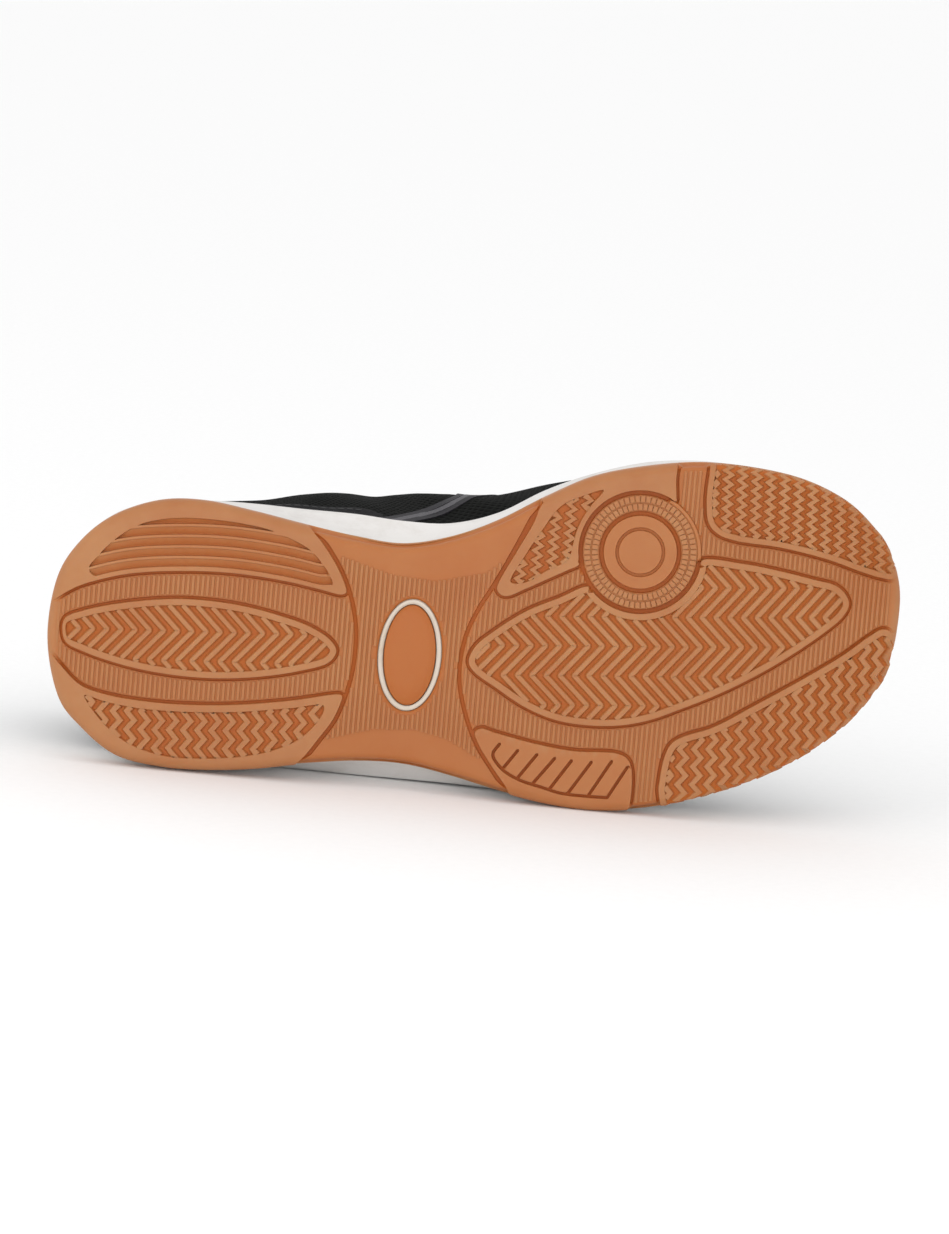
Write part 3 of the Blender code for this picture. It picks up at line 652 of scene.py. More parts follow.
@dataclass(frozen=True)
class GrainedFinish(Finish):
    """Coated synthetic leather or film: a fine pressed grain with a low sheen over one dyed colour, and shade
    painted into the grain's creases.
    """

    name: str = "synthetic_leather_black"
    roughness: float = 0.72
    low: str = "#0F0E0F"
    high: str = "#1A191B"
    grain_mm: float = 0.8
    relief_mm: float = 0.12
    specular: float = 0.12
    crease_shade_span: Pair = (0.0, 0.3)

    def dress(self, mix: Recipe) -> None:
        """Cells of the grain are paler on top than in the creases between them, where shade is painted.

        Args:
            mix: the material's nodes.
        """
        cells = mix.node("ShaderNodeTexVoronoi", {
            "Vector": mix.place, "Scale": per_mm(self.grain_mm)}, feature="DISTANCE_TO_EDGE")
        # Painted shade: the creases take the darker colour
        share, colour = mix.between(cells, self.crease_shade_span, self.low, self.high)
        mix.coat(colour, share, 0.5, self.relief_mm)
        mix.tune(Specular_IOR_Level=self.specular)


@dataclass(frozen=True)
class BrushedLining(Finish):
    """Brushed polyester lining: a dark, fuzzy knit that goes paler at grazing angles."""

    name: str = "polyester_lining_dark"
    roughness: float = 0.95
    dark: str = "#1D1D1E"
    pale: str = "#343435"
    nap_mm: float = 1.3
    nap_span: Pair = (0.35, 0.7)
    nap_depth: float = 0.3

    def dress(self, mix: Recipe) -> None:
        """The nap is mottled and lifts the light a little.

        Args:
            mix: the material's nodes.
        """
        nap = mix.node("ShaderNodeTexNoise", {
            "Vector": mix.place, "Scale": per_mm(self.nap_mm), "Detail": 5.0, "Roughness": 0.7})
        _, colour = mix.between(nap, self.nap_span, self.dark, self.pale)
        mix.coat(colour, nap, 0.6, self.nap_depth)
        mix.tune(Sheen_Weight=0.4, Sheen_Roughness=0.6)


@dataclass(frozen=True)
class WovenCord(Finish):
    """Braided polyester lace or bound thread: slanting yarns round the cord, dull black."""

    name: str = "polyester_braid_black"
    roughness: float = 0.8
    crown: str = "#2A2A2B"
    shaded_valley: str = "#060606"
    pitch_mm: float = 1.8
    turns: float = 5.0
    yarn_span: Pair = (-0.6, 1.0)
    yarn_depth: float = 0.4

    def dress(self, mix: Recipe) -> None:
        """Two families of slanting yarns cross along the cord's own length and girth, with shade painted into
        the valleys between them.

        Args:
            mix: the material's nodes.
        """
        run, girth = (
            mix.node("ShaderNodeAttribute", attribute_name=name).outputs["Fac"] for name in ("run", "girth"))
        ahead = mix.node("ShaderNodeMath", {
            0: run, 1: 2 * math.pi * per_mm(self.pitch_mm)}, operation="MULTIPLY")
        waves = []
        for turns in (self.turns, -self.turns):
            slant = mix.node("ShaderNodeMath", {
                0: girth, 1: 2 * math.pi * turns, 2: ahead}, operation="MULTIPLY_ADD")
            waves.append(mix.node("ShaderNodeMath", {0: slant}, operation="SINE"))
        braid = mix.node("ShaderNodeMath", {0: waves[0], 1: waves[1]}, operation="MAXIMUM")
        # Painted shade: the valleys between yarns take the darker colour
        share, colour = mix.between(braid, self.yarn_span, self.shaded_valley, self.crown)
        mix.coat(colour, share, 1.0, self.yarn_depth)
        mix.tune(Sheen_Weight=0.2)


@dataclass(frozen=True)
class StudioPaper(Finish):
    """Seamless studio paper: white, fully matt, with a trace of fibre."""

    name: str = "studio_paper_white"
    roughness: float = 0.95
    white: str = "#FBFBFB"
    fibre: str = "#F6F6F6"
    fibre_mm: float = 3.0

    def dress(self, mix: Recipe) -> None:
        """Fibres vary the white by a shade.

        Args:
            mix: the material's nodes.
        """
        fibre = mix.node("ShaderNodeTexNoise", {"Vector": mix.place, "Scale": per_mm(self.fibre_mm)})
        _, colour = mix.between(fibre, (0.0, 1.0), self.white, self.fibre)
        mix.feed("Base Color", colour)
        mix.tune(Specular_IOR_Level=0.1)


GUM = GumRubber()
FOAM = MouldedFoam()
# The midsole's white foam, painted darker and warmer where it shows in the window: painted shade with the
# gum's warm light
SHADED_WINDOW_FOAM = MouldedFoam("eva_foam_shaded_window", 0.62, 1.45, "#CBC1B3", "#BBA88F")
MESH = KnittedMesh()
OVERLAY = GrainedFinish()
STRIPE = GrainedFinish("reflective_film_grey", 0.42, 1.5, "#474549", "#525054", 1.2, 0.05)
BORDER = GrainedFinish("polyurethane_film_dark", 0.5, 1.5, "#1D1B1F", "#28262B", 1.0, 0.05)
EYELET = GrainedFinish("nylon_moulded_black", 0.45, 1.53, "#101010", "#1A1A1A", 0.5, 0.03)
LINING = BrushedLining()
SOCK = BrushedLining("polyester_sock_liner", 0.9, 1.5, "#202124", "#3A3B3F", 0.9)
LACE = WovenCord()
THREAD = WovenCord("polyester_thread_grey", 0.7, 1.5, "#4A4A4B", "#232323", 0.5, 2.0)


def make_piece(name: str, draft: Draft, finishes: Sequence[Finish], sharp: float = 35.0) -> Object:
    """A closed mesh object in the part's frame, with its faces turned outwards.

    Args:
        name: name of the piece.
        draft: its points, faces and cloth.
        finishes: its materials, which draft.worn numbers where there are several.
        sharp: angle in degrees above which an edge stays sharp.

    Returns:
        The object.
    """
    mesh = bpy.data.meshes.new(name)
    mesh.from_pydata((np.asarray(draft.points) * MM).tolist(), [], draft.faces)
    if draft.cloth:
        layer = mesh.uv_layers.new(name="cloth")
        flat = np.array([corner for face in draft.cloth for corner in face], np.float32) * MM
        layer.data.foreach_set("uv", flat.ravel())
    if len(finishes) > 1:
        mesh.polygons.foreach_set("material_index", draft.worn)
    for finish in finishes:
        mesh.materials.append(finish.material)
    return finished(name, mesh, sharp)


def finished(name: str, mesh: Mesh, sharp: float) -> Object:
    """Turns a mesh's faces outwards, lays it in the part's frame and links it as an object.

    Args:
        name: name of the piece.
        mesh: its mesh, in metres in the shoe's frame.
        sharp: angle in degrees above which an edge stays sharp.

    Returns:
        The object.
    """
    work = bmesh.new()
    work.from_mesh(mesh)
    bmesh.ops.recalc_face_normals(work, faces=work.faces)
    work.to_mesh(mesh)
    work.free()
    mesh.shade_smooth()
    mesh.set_sharp_from_angle(angle=math.radians(sharp))
    mesh.transform(LYING)
    piece = bpy.data.objects.new(name, mesh)
    bpy.context.scene.collection.objects.link(piece)
    return piece


def settle(piece: Object, slot: str, node: str | None = None) -> Object:
    """Gives a piece its body, hides the CAD node that it stands for, and logs its slot.

    Args:
        piece: the finished piece.
        slot: the record's material slot.
        node: the CAD node that it replaces, if any.

    Returns:
        The piece.
    """
    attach(piece, "root")
    if node:
        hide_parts(node)
    log.info("%s: %d faces, slot %s", piece.name, len(piece.data.polygons), slot)
    return piece


def paint_light_on_rubber(piece: Object, tint: Any) -> None:
    """Stores how dark the rubber is at each point of a piece: painted shade in the cuts, painted glow round
    the window.
    """
    cut = piece.data.attributes.new("recess", "FLOAT", "POINT")
    cut.data.foreach_set("value", np.broadcast_to(tint, len(piece.data.vertices)).astype(np.float32))


class PathTree:
    """A Geometry Nodes tree that makes something along paths or at points, with named sizes."""

    FLOAT, MATERIAL, GEOMETRY = "NodeSocketFloat", "NodeSocketMaterial", "NodeSocketGeometry"

    def __init__(self, name: str, sizes: Sequence[str]) -> None:
        """Starts the tree with its inputs.

        Args:
            name: name of the tree.
            sizes: names of its sizes.
        """
        self.tree = bpy.data.node_groups.new(name, "GeometryNodeTree")
        face = self.tree.interface
        self.sockets = {"Paths": face.new_socket("Paths", in_out="INPUT", socket_type=self.GEOMETRY)}
        for size in sizes:
            self.sockets[size] = face.new_socket(size, in_out="INPUT", socket_type=self.FLOAT)
        self.sockets["Material"] = face.new_socket("Material", in_out="INPUT", socket_type=self.MATERIAL)
        face.new_socket("Made", in_out="OUTPUT", socket_type=self.GEOMETRY)
        self.given = add_node(self.tree, "NodeGroupInput").outputs

    def node(self, kind: str, inputs: dict[Any, Any] | None = None, **settings: Any) -> Any:
        """Adds a node to the tree."""
        return add_node(self.tree, kind, inputs, **settings)

    def metres(self, size: str, share: float = 1.0) -> Any:
        """Node of a size in metres, times a share."""
        return self.node("ShaderNodeMath", {0: self.given[size], 1: share * MM}, operation="MULTIPLY")

    def facing(self) -> Any:
        """Node of the directions that the points of the paths face."""
        return self.node("GeometryNodeInputNamedAttribute", {"Name": "facing"}, data_type="FLOAT_VECTOR")

    def curves(self) -> Any:
        """Node of the paths as curves whose normals are the directions that they face."""
        curve = self.node("GeometryNodeMeshToCurve", {"Mesh": self.given["Paths"]})
        return self.node("GeometryNodeSetCurveNormal", {
            "Curve": curve, "Normal": self.facing()}, mode="FREE")

    def with_painted_shade(self, made: Any, axis: str, foot: Any, top: Any) -> Any:
        """Stores how dark the rubber is from foot to top, as painted shade.

        Args:
            made: node of the geometry.
            axis: axis that runs from foot to top.
            foot: place of the foot on it.
            top: place of the top on it.

        Returns:
            Node of the geometry with its tint.
        """
        place = self.node("ShaderNodeSeparateXYZ", {0: self.node("GeometryNodeInputPosition")})
        tint = self.node("ShaderNodeMapRange", {
            0: place.outputs[axis], 1: foot, 2: top, 3: self.given["Foot recess"],
            4: self.given["Top recess"]})
        return self.node("GeometryNodeStoreNamedAttribute", {
            "Geometry": made, "Name": "recess", "Value": tint})

    def end(self, made: Any) -> "PathTree":
        """Realises the result and gives it the material.

        Args:
            made: node of the result.

        Returns:
            The finished tree.
        """
        real = self.node("GeometryNodeRealizeInstances", {"Geometry": made})
        worn = self.node("GeometryNodeSetMaterial", {
            "Geometry": real, "Material": self.given["Material"]})
        self.node("NodeGroupOutput", {0: worn})
        return self

    def make(self, name: str, paths: Sequence[Path], finish: Finish, sharp: float = 40.0,
             **sizes: float) -> Object:
        """Runs the tree over paths and returns the plain result.

        Args:
            name: name of the piece.
            paths: points in millimetres with the directions that they face, one pair for each path.
            finish: its material.
            sharp: angle in degrees above which an edge stays sharp.
            sizes: the tree's sizes in millimetres, with underscores for spaces.

        Returns:
            The piece, in the part's frame.
        """
        guide = bpy.data.meshes.new(f"{name}_paths")
        points = np.concatenate([p for p, _ in paths]) * MM
        edges, start = [], 0
        for path, _ in paths:
            edges += [(k, k + 1) for k in range(start, start + len(path) - 1)]
            start += len(path)
        guide.from_pydata(points.tolist(), edges, [])
        facing = guide.attributes.new("facing", "FLOAT_VECTOR", "POINT")
        facing.data.foreach_set("vector", np.concatenate([n for _, n in paths]).astype(np.float32).ravel())
        carrier = bpy.data.objects.new(f"{name}_carrier", guide)
        bpy.context.scene.collection.objects.link(carrier)
        modifier = carrier.modifiers.new(self.tree.name, "NODES")
        modifier.node_group = self.tree
        for size, value in sizes.items():
            socket = self.sockets[size.replace("_", " ").capitalize()]
            modifier[socket.identifier] = float(value)
        modifier[self.sockets["Material"].identifier] = finish.material
        graph = bpy.context.evaluated_depsgraph_get()
        mesh = bpy.data.meshes.new_from_object(
            carrier.evaluated_get(graph), preserve_all_data_layers=True, depsgraph=graph)
        bpy.data.objects.remove(carrier)
        return finished(name, mesh, sharp)


@cache
def ridge_tree() -> PathTree:
    """Tree that moulds a flat-topped bar along each path, its top on the path and its foot below it.

    Returns:
        The tree.
    """
    tree = PathTree("moulded_ridge", ("Top width", "Foot width", "Depth", "Top recess", "Foot recess"))
    low = tree.metres("Depth", -1.0)
    corners = {}
    for number, (size, x, half) in enumerate((
        ("Top width", 0.0, 0.5), ("Top width", 0.0, -0.5),
        ("Foot width", low, -0.5), ("Foot width", low, 0.5),
    ), 1):
        corner = tree.node("ShaderNodeCombineXYZ", {"X": x, "Y": tree.metres(size, half)})
        corners[f"Point {number}"] = corner
    profile = tree.node("GeometryNodeCurvePrimitiveQuadrilateral", corners, mode="POINTS")
    bars = tree.node("GeometryNodeCurveToMesh", {
        "Curve": tree.curves(), "Profile Curve": tree.with_painted_shade(profile, "X", low, 0.0),
        "Fill Caps": True})
    return tree.end(bars)


def cord_tree() -> PathTree:
    """Tree that lays an oval cord along each path, with its length and girth stored for the weave.

    Returns:
        The tree.
    """
    tree = PathTree("laid_cord", ("Width", "Thickness"))
    spline = tree.node("GeometryNodeSplineParameter")
    circle = tree.node("GeometryNodeCurvePrimitiveCircle", {"Resolution": 12, "Radius": 0.5 * MM})
    scale = tree.node("ShaderNodeCombineXYZ", {
        "X": tree.given["Thickness"], "Y": tree.given["Width"], "Z": 1.0})
    oval = tree.node("GeometryNodeTransform", {"Geometry": circle, "Scale": scale})
    oval = tree.node("GeometryNodeStoreNamedAttribute", {
        "Geometry": oval, "Name": "girth", "Value": spline.outputs["Factor"]})
    line = tree.node("GeometryNodeStoreNamedAttribute", {
        "Geometry": tree.curves(), "Name": "run", "Value": spline.outputs["Length"]})
    cord = tree.node("GeometryNodeCurveToMesh", {"Curve": line, "Profile Curve": oval, "Fill Caps": True})
    return tree.end(cord)


def stitch_tree() -> PathTree:
    """Tree that sets a row of sewn stitches along each path.

    Returns:
        The tree.
    """
    tree = PathTree("stitch_row", ("Pitch", "Length", "Thickness"))
    spots = tree.node("GeometryNodeCurveToPoints", {
        "Curve": tree.curves(), "Length": tree.metres("Pitch")}, mode="LENGTH")
    bead = tree.node("GeometryNodeMeshUVSphere", {"Segments": 6, "Rings": 5, "Radius": 1.0})
    thick = tree.metres("Thickness", 0.5)
    scale = tree.node("ShaderNodeCombineXYZ", {"X": thick, "Y": thick, "Z": tree.metres("Length", 0.5)})
    row = tree.node("GeometryNodeInstanceOnPoints", {
        "Points": spots.outputs["Points"], "Instance": bead, "Rotation": spots.outputs["Rotation"],
        "Scale": scale})
    return tree.end(row)


def eyelet_tree() -> PathTree:
    """Tree that presses a ring round each point, facing out of the eyestay.

    Returns:
        The tree.
    """
    tree = PathTree("pressed_eyelet", ("Hole", "Wire"))
    hole, wire = (
        tree.node("GeometryNodeCurvePrimitiveCircle", {"Resolution": steps, "Radius": tree.metres(size, 0.5)})
        for size, steps in (("Hole", 20), ("Wire", 8)))
    ring = tree.node("GeometryNodeCurveToMesh", {"Curve": hole, "Profile Curve": wire})
    turn = tree.node("FunctionNodeAlignRotationToVector", {"Vector": tree.facing()}, axis="Z")
    rings = tree.node("GeometryNodeInstanceOnPoints", {
        "Points": tree.given["Paths"], "Instance": ring, "Rotation": turn})
    return tree.end(rings)


def block_tree() -> PathTree:
    """Tree that stands a small tapered block on each point, its length along the path.

    Returns:
        The tree.
    """
    tree = PathTree("grip_block", ("Length", "Width", "Depth", "Top recess", "Foot recess"))
    spots = tree.node("GeometryNodeCurveToPoints", {"Curve": tree.curves()}, mode="EVALUATED")
    cone = tree.node("GeometryNodeMeshCone", {
        "Vertices": 4, "Radius Top": 0.86, "Radius Bottom": 1.0, "Depth": 1.0})
    cone = tree.node("GeometryNodeTransform", {
        "Geometry": tree.with_painted_shade(cone, "Z", 0.0, 1.0), "Translation": (0.0, 0.0, -1.0),
        "Rotation": (0.0, 0.0, math.pi / 4)})
    turn = tree.node("FunctionNodeAlignRotationToVector", {"Vector": spots.outputs["Tangent"]}, axis="X")
    turn = tree.node("FunctionNodeAlignRotationToVector", {
        "Rotation": turn, "Vector": tree.facing()}, axis="Z", pivot_axis="X")
    # A four-sided cone of radius 1 has sides of 1 / 0.7071
    scale = tree.node("ShaderNodeCombineXYZ", {
        "X": tree.metres("Length", 0.7071), "Y": tree.metres("Width", 0.7071), "Z": tree.metres("Depth")})
    blocks = tree.node("GeometryNodeInstanceOnPoints", {
        "Points": spots.outputs["Points"], "Instance": cone, "Rotation": turn, "Scale": scale})
    return tree.end(blocks)


@dataclass(frozen=True)
class RidgeCut:
    """Zigzag ridges across a sunk field.

    turn is a spot where one of them turns on its heel side. lean and tilt turn the ridges and their rows
    round that spot, in millimetres for each millimetre, and stretch widens the pitch along the shoe. soften
    cuts the turns off that far to each side. top is the width of a ridge's flat top, along the shoe where the
    turns are sharp.
    """

    # Step of the search across, shortest run in steps, and margin and reach beyond the field
    STEP, SHORTEST, MARGIN, REACH = 0.05, 20, 3.0, 8.0

    pitch: float
    period: float
    slope: float
    turn: Pair
    lean: float
    tilt: float
    stretch: float = 0.0
    soften: float = 0.2
    top: float = 1.15

    def swing(self, across: Points) -> Points:
        """How far towards the toe a ridge has swung at a distance across from the turn."""
        shares = [(across + shift) / self.period % 1.0 for shift in (-self.soften, 0.0, self.soften)]
        return self.slope * self.period / 2 * sum(1 - np.abs(2 * share - 1) for share in shares) / 3

    def lines(self, outline: Points) -> list[Points]:
        """Centre lines of the ridges inside an outline.

        Args:
            outline: closed outline of the field in plan.

        Returns:
            Points in plan, one line for each unbroken run.
        """
        low, high = outline.min(axis=0) - self.MARGIN, outline.max(axis=0) + self.MARGIN
        y = np.arange(low[1], high[1], self.STEP)
        across = y - self.turn[1]
        ends = low[0] - self.REACH, high[0] + self.REACH
        made = []
        for k in range(*(math.floor((x - self.turn[0]) / self.pitch) for x in ends)):
            run = np.full(len(y), k * self.pitch)
            for _ in range(3):
                row = across - self.tilt * run
                run = k * self.pitch + self.swing(row) + self.lean * across + self.stretch * run**2
            turned = np.abs((2 * row / self.period + 0.5) % 1.0 - 0.5) * self.period / 2
            keep = dips(turned) | dips(np.abs(turned - self.soften))
            line = np.column_stack([self.turn[0] + run, y])
            for inside in runs_of(is_inside(outline, line)):
                if len(inside) > self.SHORTEST:
                    made.append(line[[i for i in inside if keep[i] or i in (inside[0], inside[-1])]])
        return made


def dips(values: Points) -> np.ndarray:
    """Which values lie lower than both of their neighbours."""
    low = (values[1:-1] <= values[:-2]) & (values[1:-1] < values[2:])
    return np.concatenate([[False], low, [False]])


def runs_of(flags: np.ndarray) -> list[np.ndarray]:
    """Unbroken runs of set flags, as lists of their positions."""
    found = np.flatnonzero(flags)
    return [run for run in np.split(found, np.flatnonzero(np.diff(found) > 1) + 1) if len(run)]


@dataclass
class Tread:
    """The tread's plan: pads, sunk fields, channels, grooves, disc and window, and how deep each lies."""

    edge_radius: float = 3.0
    groove: float = 1.7
    channel: float = 1.15
    sunk: float = 1.05
    rim: float = 1.7
    toe_rims: Pair = (1.5, 1.7)
    pad_steps: Run = (0.0, 0.22, 0.78, 1.02)
    overhang: float = 6.0
    rib_pitch: float = 1.434
    rib_lean: float = -0.089
    disc: Pair = (173.2, -24.9)
    disc_well: float = 18.1
    disc_radii: Run = (6.2, 6.45, 7.05, 7.3, 10.6, 10.85, 11.8, 12.05, 16.6, 16.85, 17.6, 17.9)
    disc_levels: Run = (0.0, 0.9, 0.9, 0.0, 0.0, 1.5, 1.5, 0.55, 0.55, 1.6, 1.6, 1.6)
    open_side: Pair = (-60.0, 9.0)
    open_levels: Run = (0.0, 0.9, 0.9, 0.0, 0.0, 1.5, 1.5, 0.55, 0.55, 0.25, 0.25, 1.15)
    window: Pair = (106.0, 5.6)
    window_half: Pair = (9.45, 16.55)
    window_lean: float = -0.06
    band_pitch: float = 3.11
    band_first: float = 1.2
    band_count: int = 6
    band_ends: Pair = (10.0, 88.0)
    band_shares: Run = (0.0, 0.07, 0.2, 0.74, 0.8, 1.0)
    band_levels: Run = (0.0, 1.3, 1.3, 0.55, 0.0, 0.0)
    band_wall: float = 0.3
    band_shade: float = 2.2
    slot_steps: Pair = (0.3, 0.5)
    slot_depth: float = 1.15
    # Painted shade in the comb's slots
    slot_shade: float = 1.1
    arc_steps: Pair = (0.45, 0.68)
    field_wall: float = 0.4
    field_fade: Rows = ((0.0, 2.2), (0.3, 1.0))
    # Painted shade in the sunk fields
    field_shade: float = 0.8
    heel_point: Triple = (0.3, 9.5, 3.0)
    tread_ends: Pair = (14.0, 244.0)
    end_fade: Pair = (0.6, 3.0)
    waist_ends: Pair = (76.0, 142.0)
    window_chamfer: float = 0.6
    disc_shade: float = 1.6
    # Distances that the ribs keep from the sole's edge, the pads, the arcs, the disc and the window
    rib_gaps: Run = (2.0, 1.3, 0.9, 0.1, 1.0)
    # Painted shade on channel floors and on the waist's smooth border bands, from 0 on a top to 1 in a groove
    channel_floor_shade: float = 0.45
    waist_band_shade: float = 0.4
    top_tint: float = 0.1
    bare_tint: float = 0.3
    # Reach in millimetres and strength of the painted amber glow round the window
    window_painted_glow: Pair = (4.5, 0.6)

    HEEL_INNER = (
        (1.0, -10.4), (3.6, -11.8), (7.0, -13.8), (11.0, -15.6), (23.6, -18.6), (39.4, -19.5),
        (55.2, -18.8), (71.0, -16.3), (80.0, -14.1), (86.4, -12.5), (87.5, -13.0), (87.4, -14.6),
        (85.6, -19.4), (82.2, -25.4), (78.4, -30.4), (75.0, -34.4), (72.4, -37.4))
    HEEL_MIDDLE = (
        (5.6, -5.5), (11.0, -7.8), (23.6, -10.2), (39.4, -11.2), (55.2, -9.6), (67.9, -6.4), (77.4, -2.9),
        (83.0, 1.0), (84.6, 4.0), (82.6, 7.2), (74.2, 9.7), (61.6, 11.5), (48.9, 11.9), (36.2, 10.8),
        (23.6, 8.3), (11.0, 4.1), (5.8, 1.4), (4.8, -2.1))
    HEEL_OUTER = (
        (72.6, 37.4), (75.4, 34.6), (79.5, 29.5), (83.5, 24.2), (86.2, 18.2), (86.2, 17.1), (85.0, 16.8),
        (71.0, 18.6), (55.2, 19.8), (42.6, 19.8), (29.9, 18.9), (17.2, 16.7), (9.6, 13.8), (3.6, 7.8),
        (1.0, 5.4))
    BALL_INNER = (
        (143.4, -36.2), (137.3, -25.0), (132.0, -15.9), (131.6, -13.8), (132.9, -12.4), (134.8, -12.2),
        (139.9, -14.3), (147.3, -17.6), (152.0, -19.7))
    BALL_INNER_FRONT = ((183.6, -41.0), (183.5, -45.4))
    BALL_MIDDLE_REAR = (
        (174.8, 24.5), (164.2, 25.9), (150.0, 24.5), (140.1, 20.6), (130.8, 14.4), (124.8, 10.0),
        (123.3, 7.2), (125.2, 2.8), (131.0, -2.0), (140.2, -7.7), (149.6, -11.5))
    BALL_MIDDLE_FRONT = (
        (203.0, -21.4), (213.7, -19.2), (224.4, -16.4), (230.4, -14.7), (233.4, -12.0), (234.4, -9.0),
        (232.6, -5.6), (226.8, -0.8), (212.8, 8.2), (198.8, 15.4), (185.0, 21.0))
    BALL_OUTER = (
        (170.4, 48.0), (170.7, 38.5), (169.4, 35.5), (166.4, 34.1), (154.0, 33.4), (143.3, 31.4),
        (131.2, 28.1), (126.8, 26.8), (125.1, 27.9), (126.9, 32.8), (131.0, 39.2), (134.4, 44.4))
    TOE_INNER = (
        (193.2, -46.5), (192.5, -39.1), (193.2, -33.2), (195.8, -30.2), (201.2, -28.2), (213.8, -26.2),
        (228.0, -22.5), (238.6, -18.5), (244.0, -16.8), (248.0, -16.5))
    TOE_OUTER = (
        (249.4, 2.2), (247.4, -0.5), (244.6, -1.5), (240.6, 0.5), (232.7, 5.9), (221.7, 12.2),
        (207.5, 19.8), (194.5, 26.5), (185.8, 29.2), (182.5, 31.2), (180.5, 35.0), (179.1, 41.8),
        (178.8, 45.7))
    HEEL_INNER_BANDS = (
        (12.5, -19.9), (15.8, -24.4), (20.2, -28.6), (26.7, -32.7), (33.0, -34.4), (40.4, -35.0),
        (50.0, -34.4), (58.0, -33.2), (66.7, -31.0), (76.9, -25.8), (80.6, -21.7), (83.0, -17.9))
    HEEL_OUTER_FIELD = (
        (11.1, 16.9), (17.2, 18.7), (27.9, 20.8), (42.6, 21.8), (55.2, 21.8), (71.0, 20.7), (80.9, 19.9),
        (80.9, 22.0), (75.2, 28.9), (67.2, 32.9), (56.4, 35.1), (44.0, 35.6), (34.7, 34.9), (23.9, 31.2),
        (16.4, 25.0))
    BALL_INNER_FIELD = (
        (135.4, -16.2), (139.4, -23.6), (144.6, -31.4), (150.0, -38.3), (156.6, -41.4), (162.6, -43.0),
        (158.4, -37.8), (155.2, -32.2), (153.4, -26.2), (152.4, -22.8), (146.2, -19.5), (139.4, -15.9))
    HEEL_ARC = (
        (75.6, -34.6), (79.0, -30.8), (82.7, -25.7), (86.1, -19.7), (88.4, -13.7), (89.8, -7.6),
        (90.4, -1.6), (90.1, 4.4), (89.1, 11.1), (87.1, 17.8), (84.1, 24.5), (80.0, 29.9), (76.0, 34.9),
        (73.4, 37.8))
    BALL_ARC = (
        (144.2, -39.4), (142.6, -36.6), (136.6, -25.5), (130.8, -15.5), (126.5, -8.8), (123.1, -2.1),
        (121.5, 3.3), (120.6, 8.6), (120.6, 14.0), (121.5, 19.4), (123.1, 25.4), (125.8, 32.1),
        (129.9, 38.8), (133.6, 44.4))
    COMB_BASE = (
        (132.3, 31.2), (130.3, 34.3), (133.0, 38.6), (137.9, 41.7), (144.1, 43.8), (150.2, 45.7),
        (156.7, 46.5), (163.7, 47.0))
    COMB_SLOTS = (
        ((133.6, 38.0), (137.6, 33.1)), ((137.6, 41.1), (143.2, 34.3)), ((141.9, 42.9), (148.4, 35.4)),
        ((146.8, 44.5), (153.3, 36.1)), ((152.4, 45.5), (159.1, 36.5)), ((158.2, 46.4), (165.0, 36.3)),
        ((163.7, 47.0), (169.6, 38.0)))
    WAIST_INNER = (
        (80.0, -26.0), (88.5, -22.8), (101.4, -17.9), (113.7, -16.3), (128.4, -18.8), (140.0, -27.0))
    WAIST_OUTER = ((76.0, 31.0), (84.0, 29.5), (95.2, 27.3), (107.5, 27.6), (117.3, 30.4), (128.0, 37.0))

    CHEVRON_HEEL = RidgeCut(4.13, 17.3, 0.95, (46.5, 7.0), -0.048, 0.029, top=1.1)
    CHEVRON_BALL = RidgeCut(4.076, 17.35, 0.93, (178.95, -5.9), -0.02, 0.0105, -0.0003)
    ZIGZAG_HEEL = RidgeCut(4.14, 5.3, 0.86, (48.05, 27.3), -0.047, 0.015, 0.0, 0.0, 1.7)
    ZIGZAG_BALL = RidgeCut(4.4, 2.86, 1.47, (151.35, -27.65), -0.088, 0.075, -0.0005, 0.0, 1.7)
    ZIGZAG_TOE_INNER = RidgeCut(4.158, 2.845, 1.38, (218.2, -33.15), -0.035, 0.077, -0.0002, 0.0, 1.7)
    ZIGZAG_TOE_OUTER = RidgeCut(3.987, 5.18, 0.85, (213.75, 27.6), -0.053, 0.0, -0.001, 0.0, 1.65)

    def __post_init__(self) -> None:
        """Draws the pads, fields and lines from their tables."""
        self.edge = plan_loop(Outline.TREAD, positions(10))
        self.edge_normal = outward(self.edge)
        run = self.edge_run
        disc_side = [*self.well(169, 305), *self.BALL_INNER_FRONT]
        self.pads = [flowing(table, True) for table in (
            [*self.HEEL_INNER, *run(Side.INNER, 70.0, 1.2)],
            self.HEEL_MIDDLE,
            [*self.HEEL_OUTER, *run(Side.OUTER, 1.2, 69.0)],
            [*self.BALL_INNER, *disc_side, *run(Side.INNER, 184.2, 147.0)],
            [*self.BALL_MIDDLE_REAR, *self.well(146, 8), *self.BALL_MIDDLE_FRONT],
            [*self.BALL_OUTER, *run(Side.OUTER, 138.0, 169.6)],
            [*self.TOE_INNER, *run(Side.INNER, 248.6, 195.0)],
            [*self.TOE_OUTER, *run(Side.OUTER, 180.0, 248.2)],
        )]
        _, heel, _, _, ball, self.comb_pad, *toes = self.pads
        heel, ball = grown(heel, -self.rim), grown(ball, -self.rim)
        share, station, reach = self.heel_point
        heel[:, 0] -= share * np.clip(station - heel[:, 0], 0.0, reach)
        toe_inner, toe_outer = (grown(toe, -rim) for toe, rim in zip(toes, self.toe_rims))
        self.fields = [
            (heel, self.CHEVRON_HEEL), (flowing(self.HEEL_OUTER_FIELD, True), self.ZIGZAG_HEEL),
            (flowing(self.BALL_INNER_FIELD, True), self.ZIGZAG_BALL), (ball, self.CHEVRON_BALL),
            (toe_inner, self.ZIGZAG_TOE_INNER), (toe_outer, self.ZIGZAG_TOE_OUTER)]
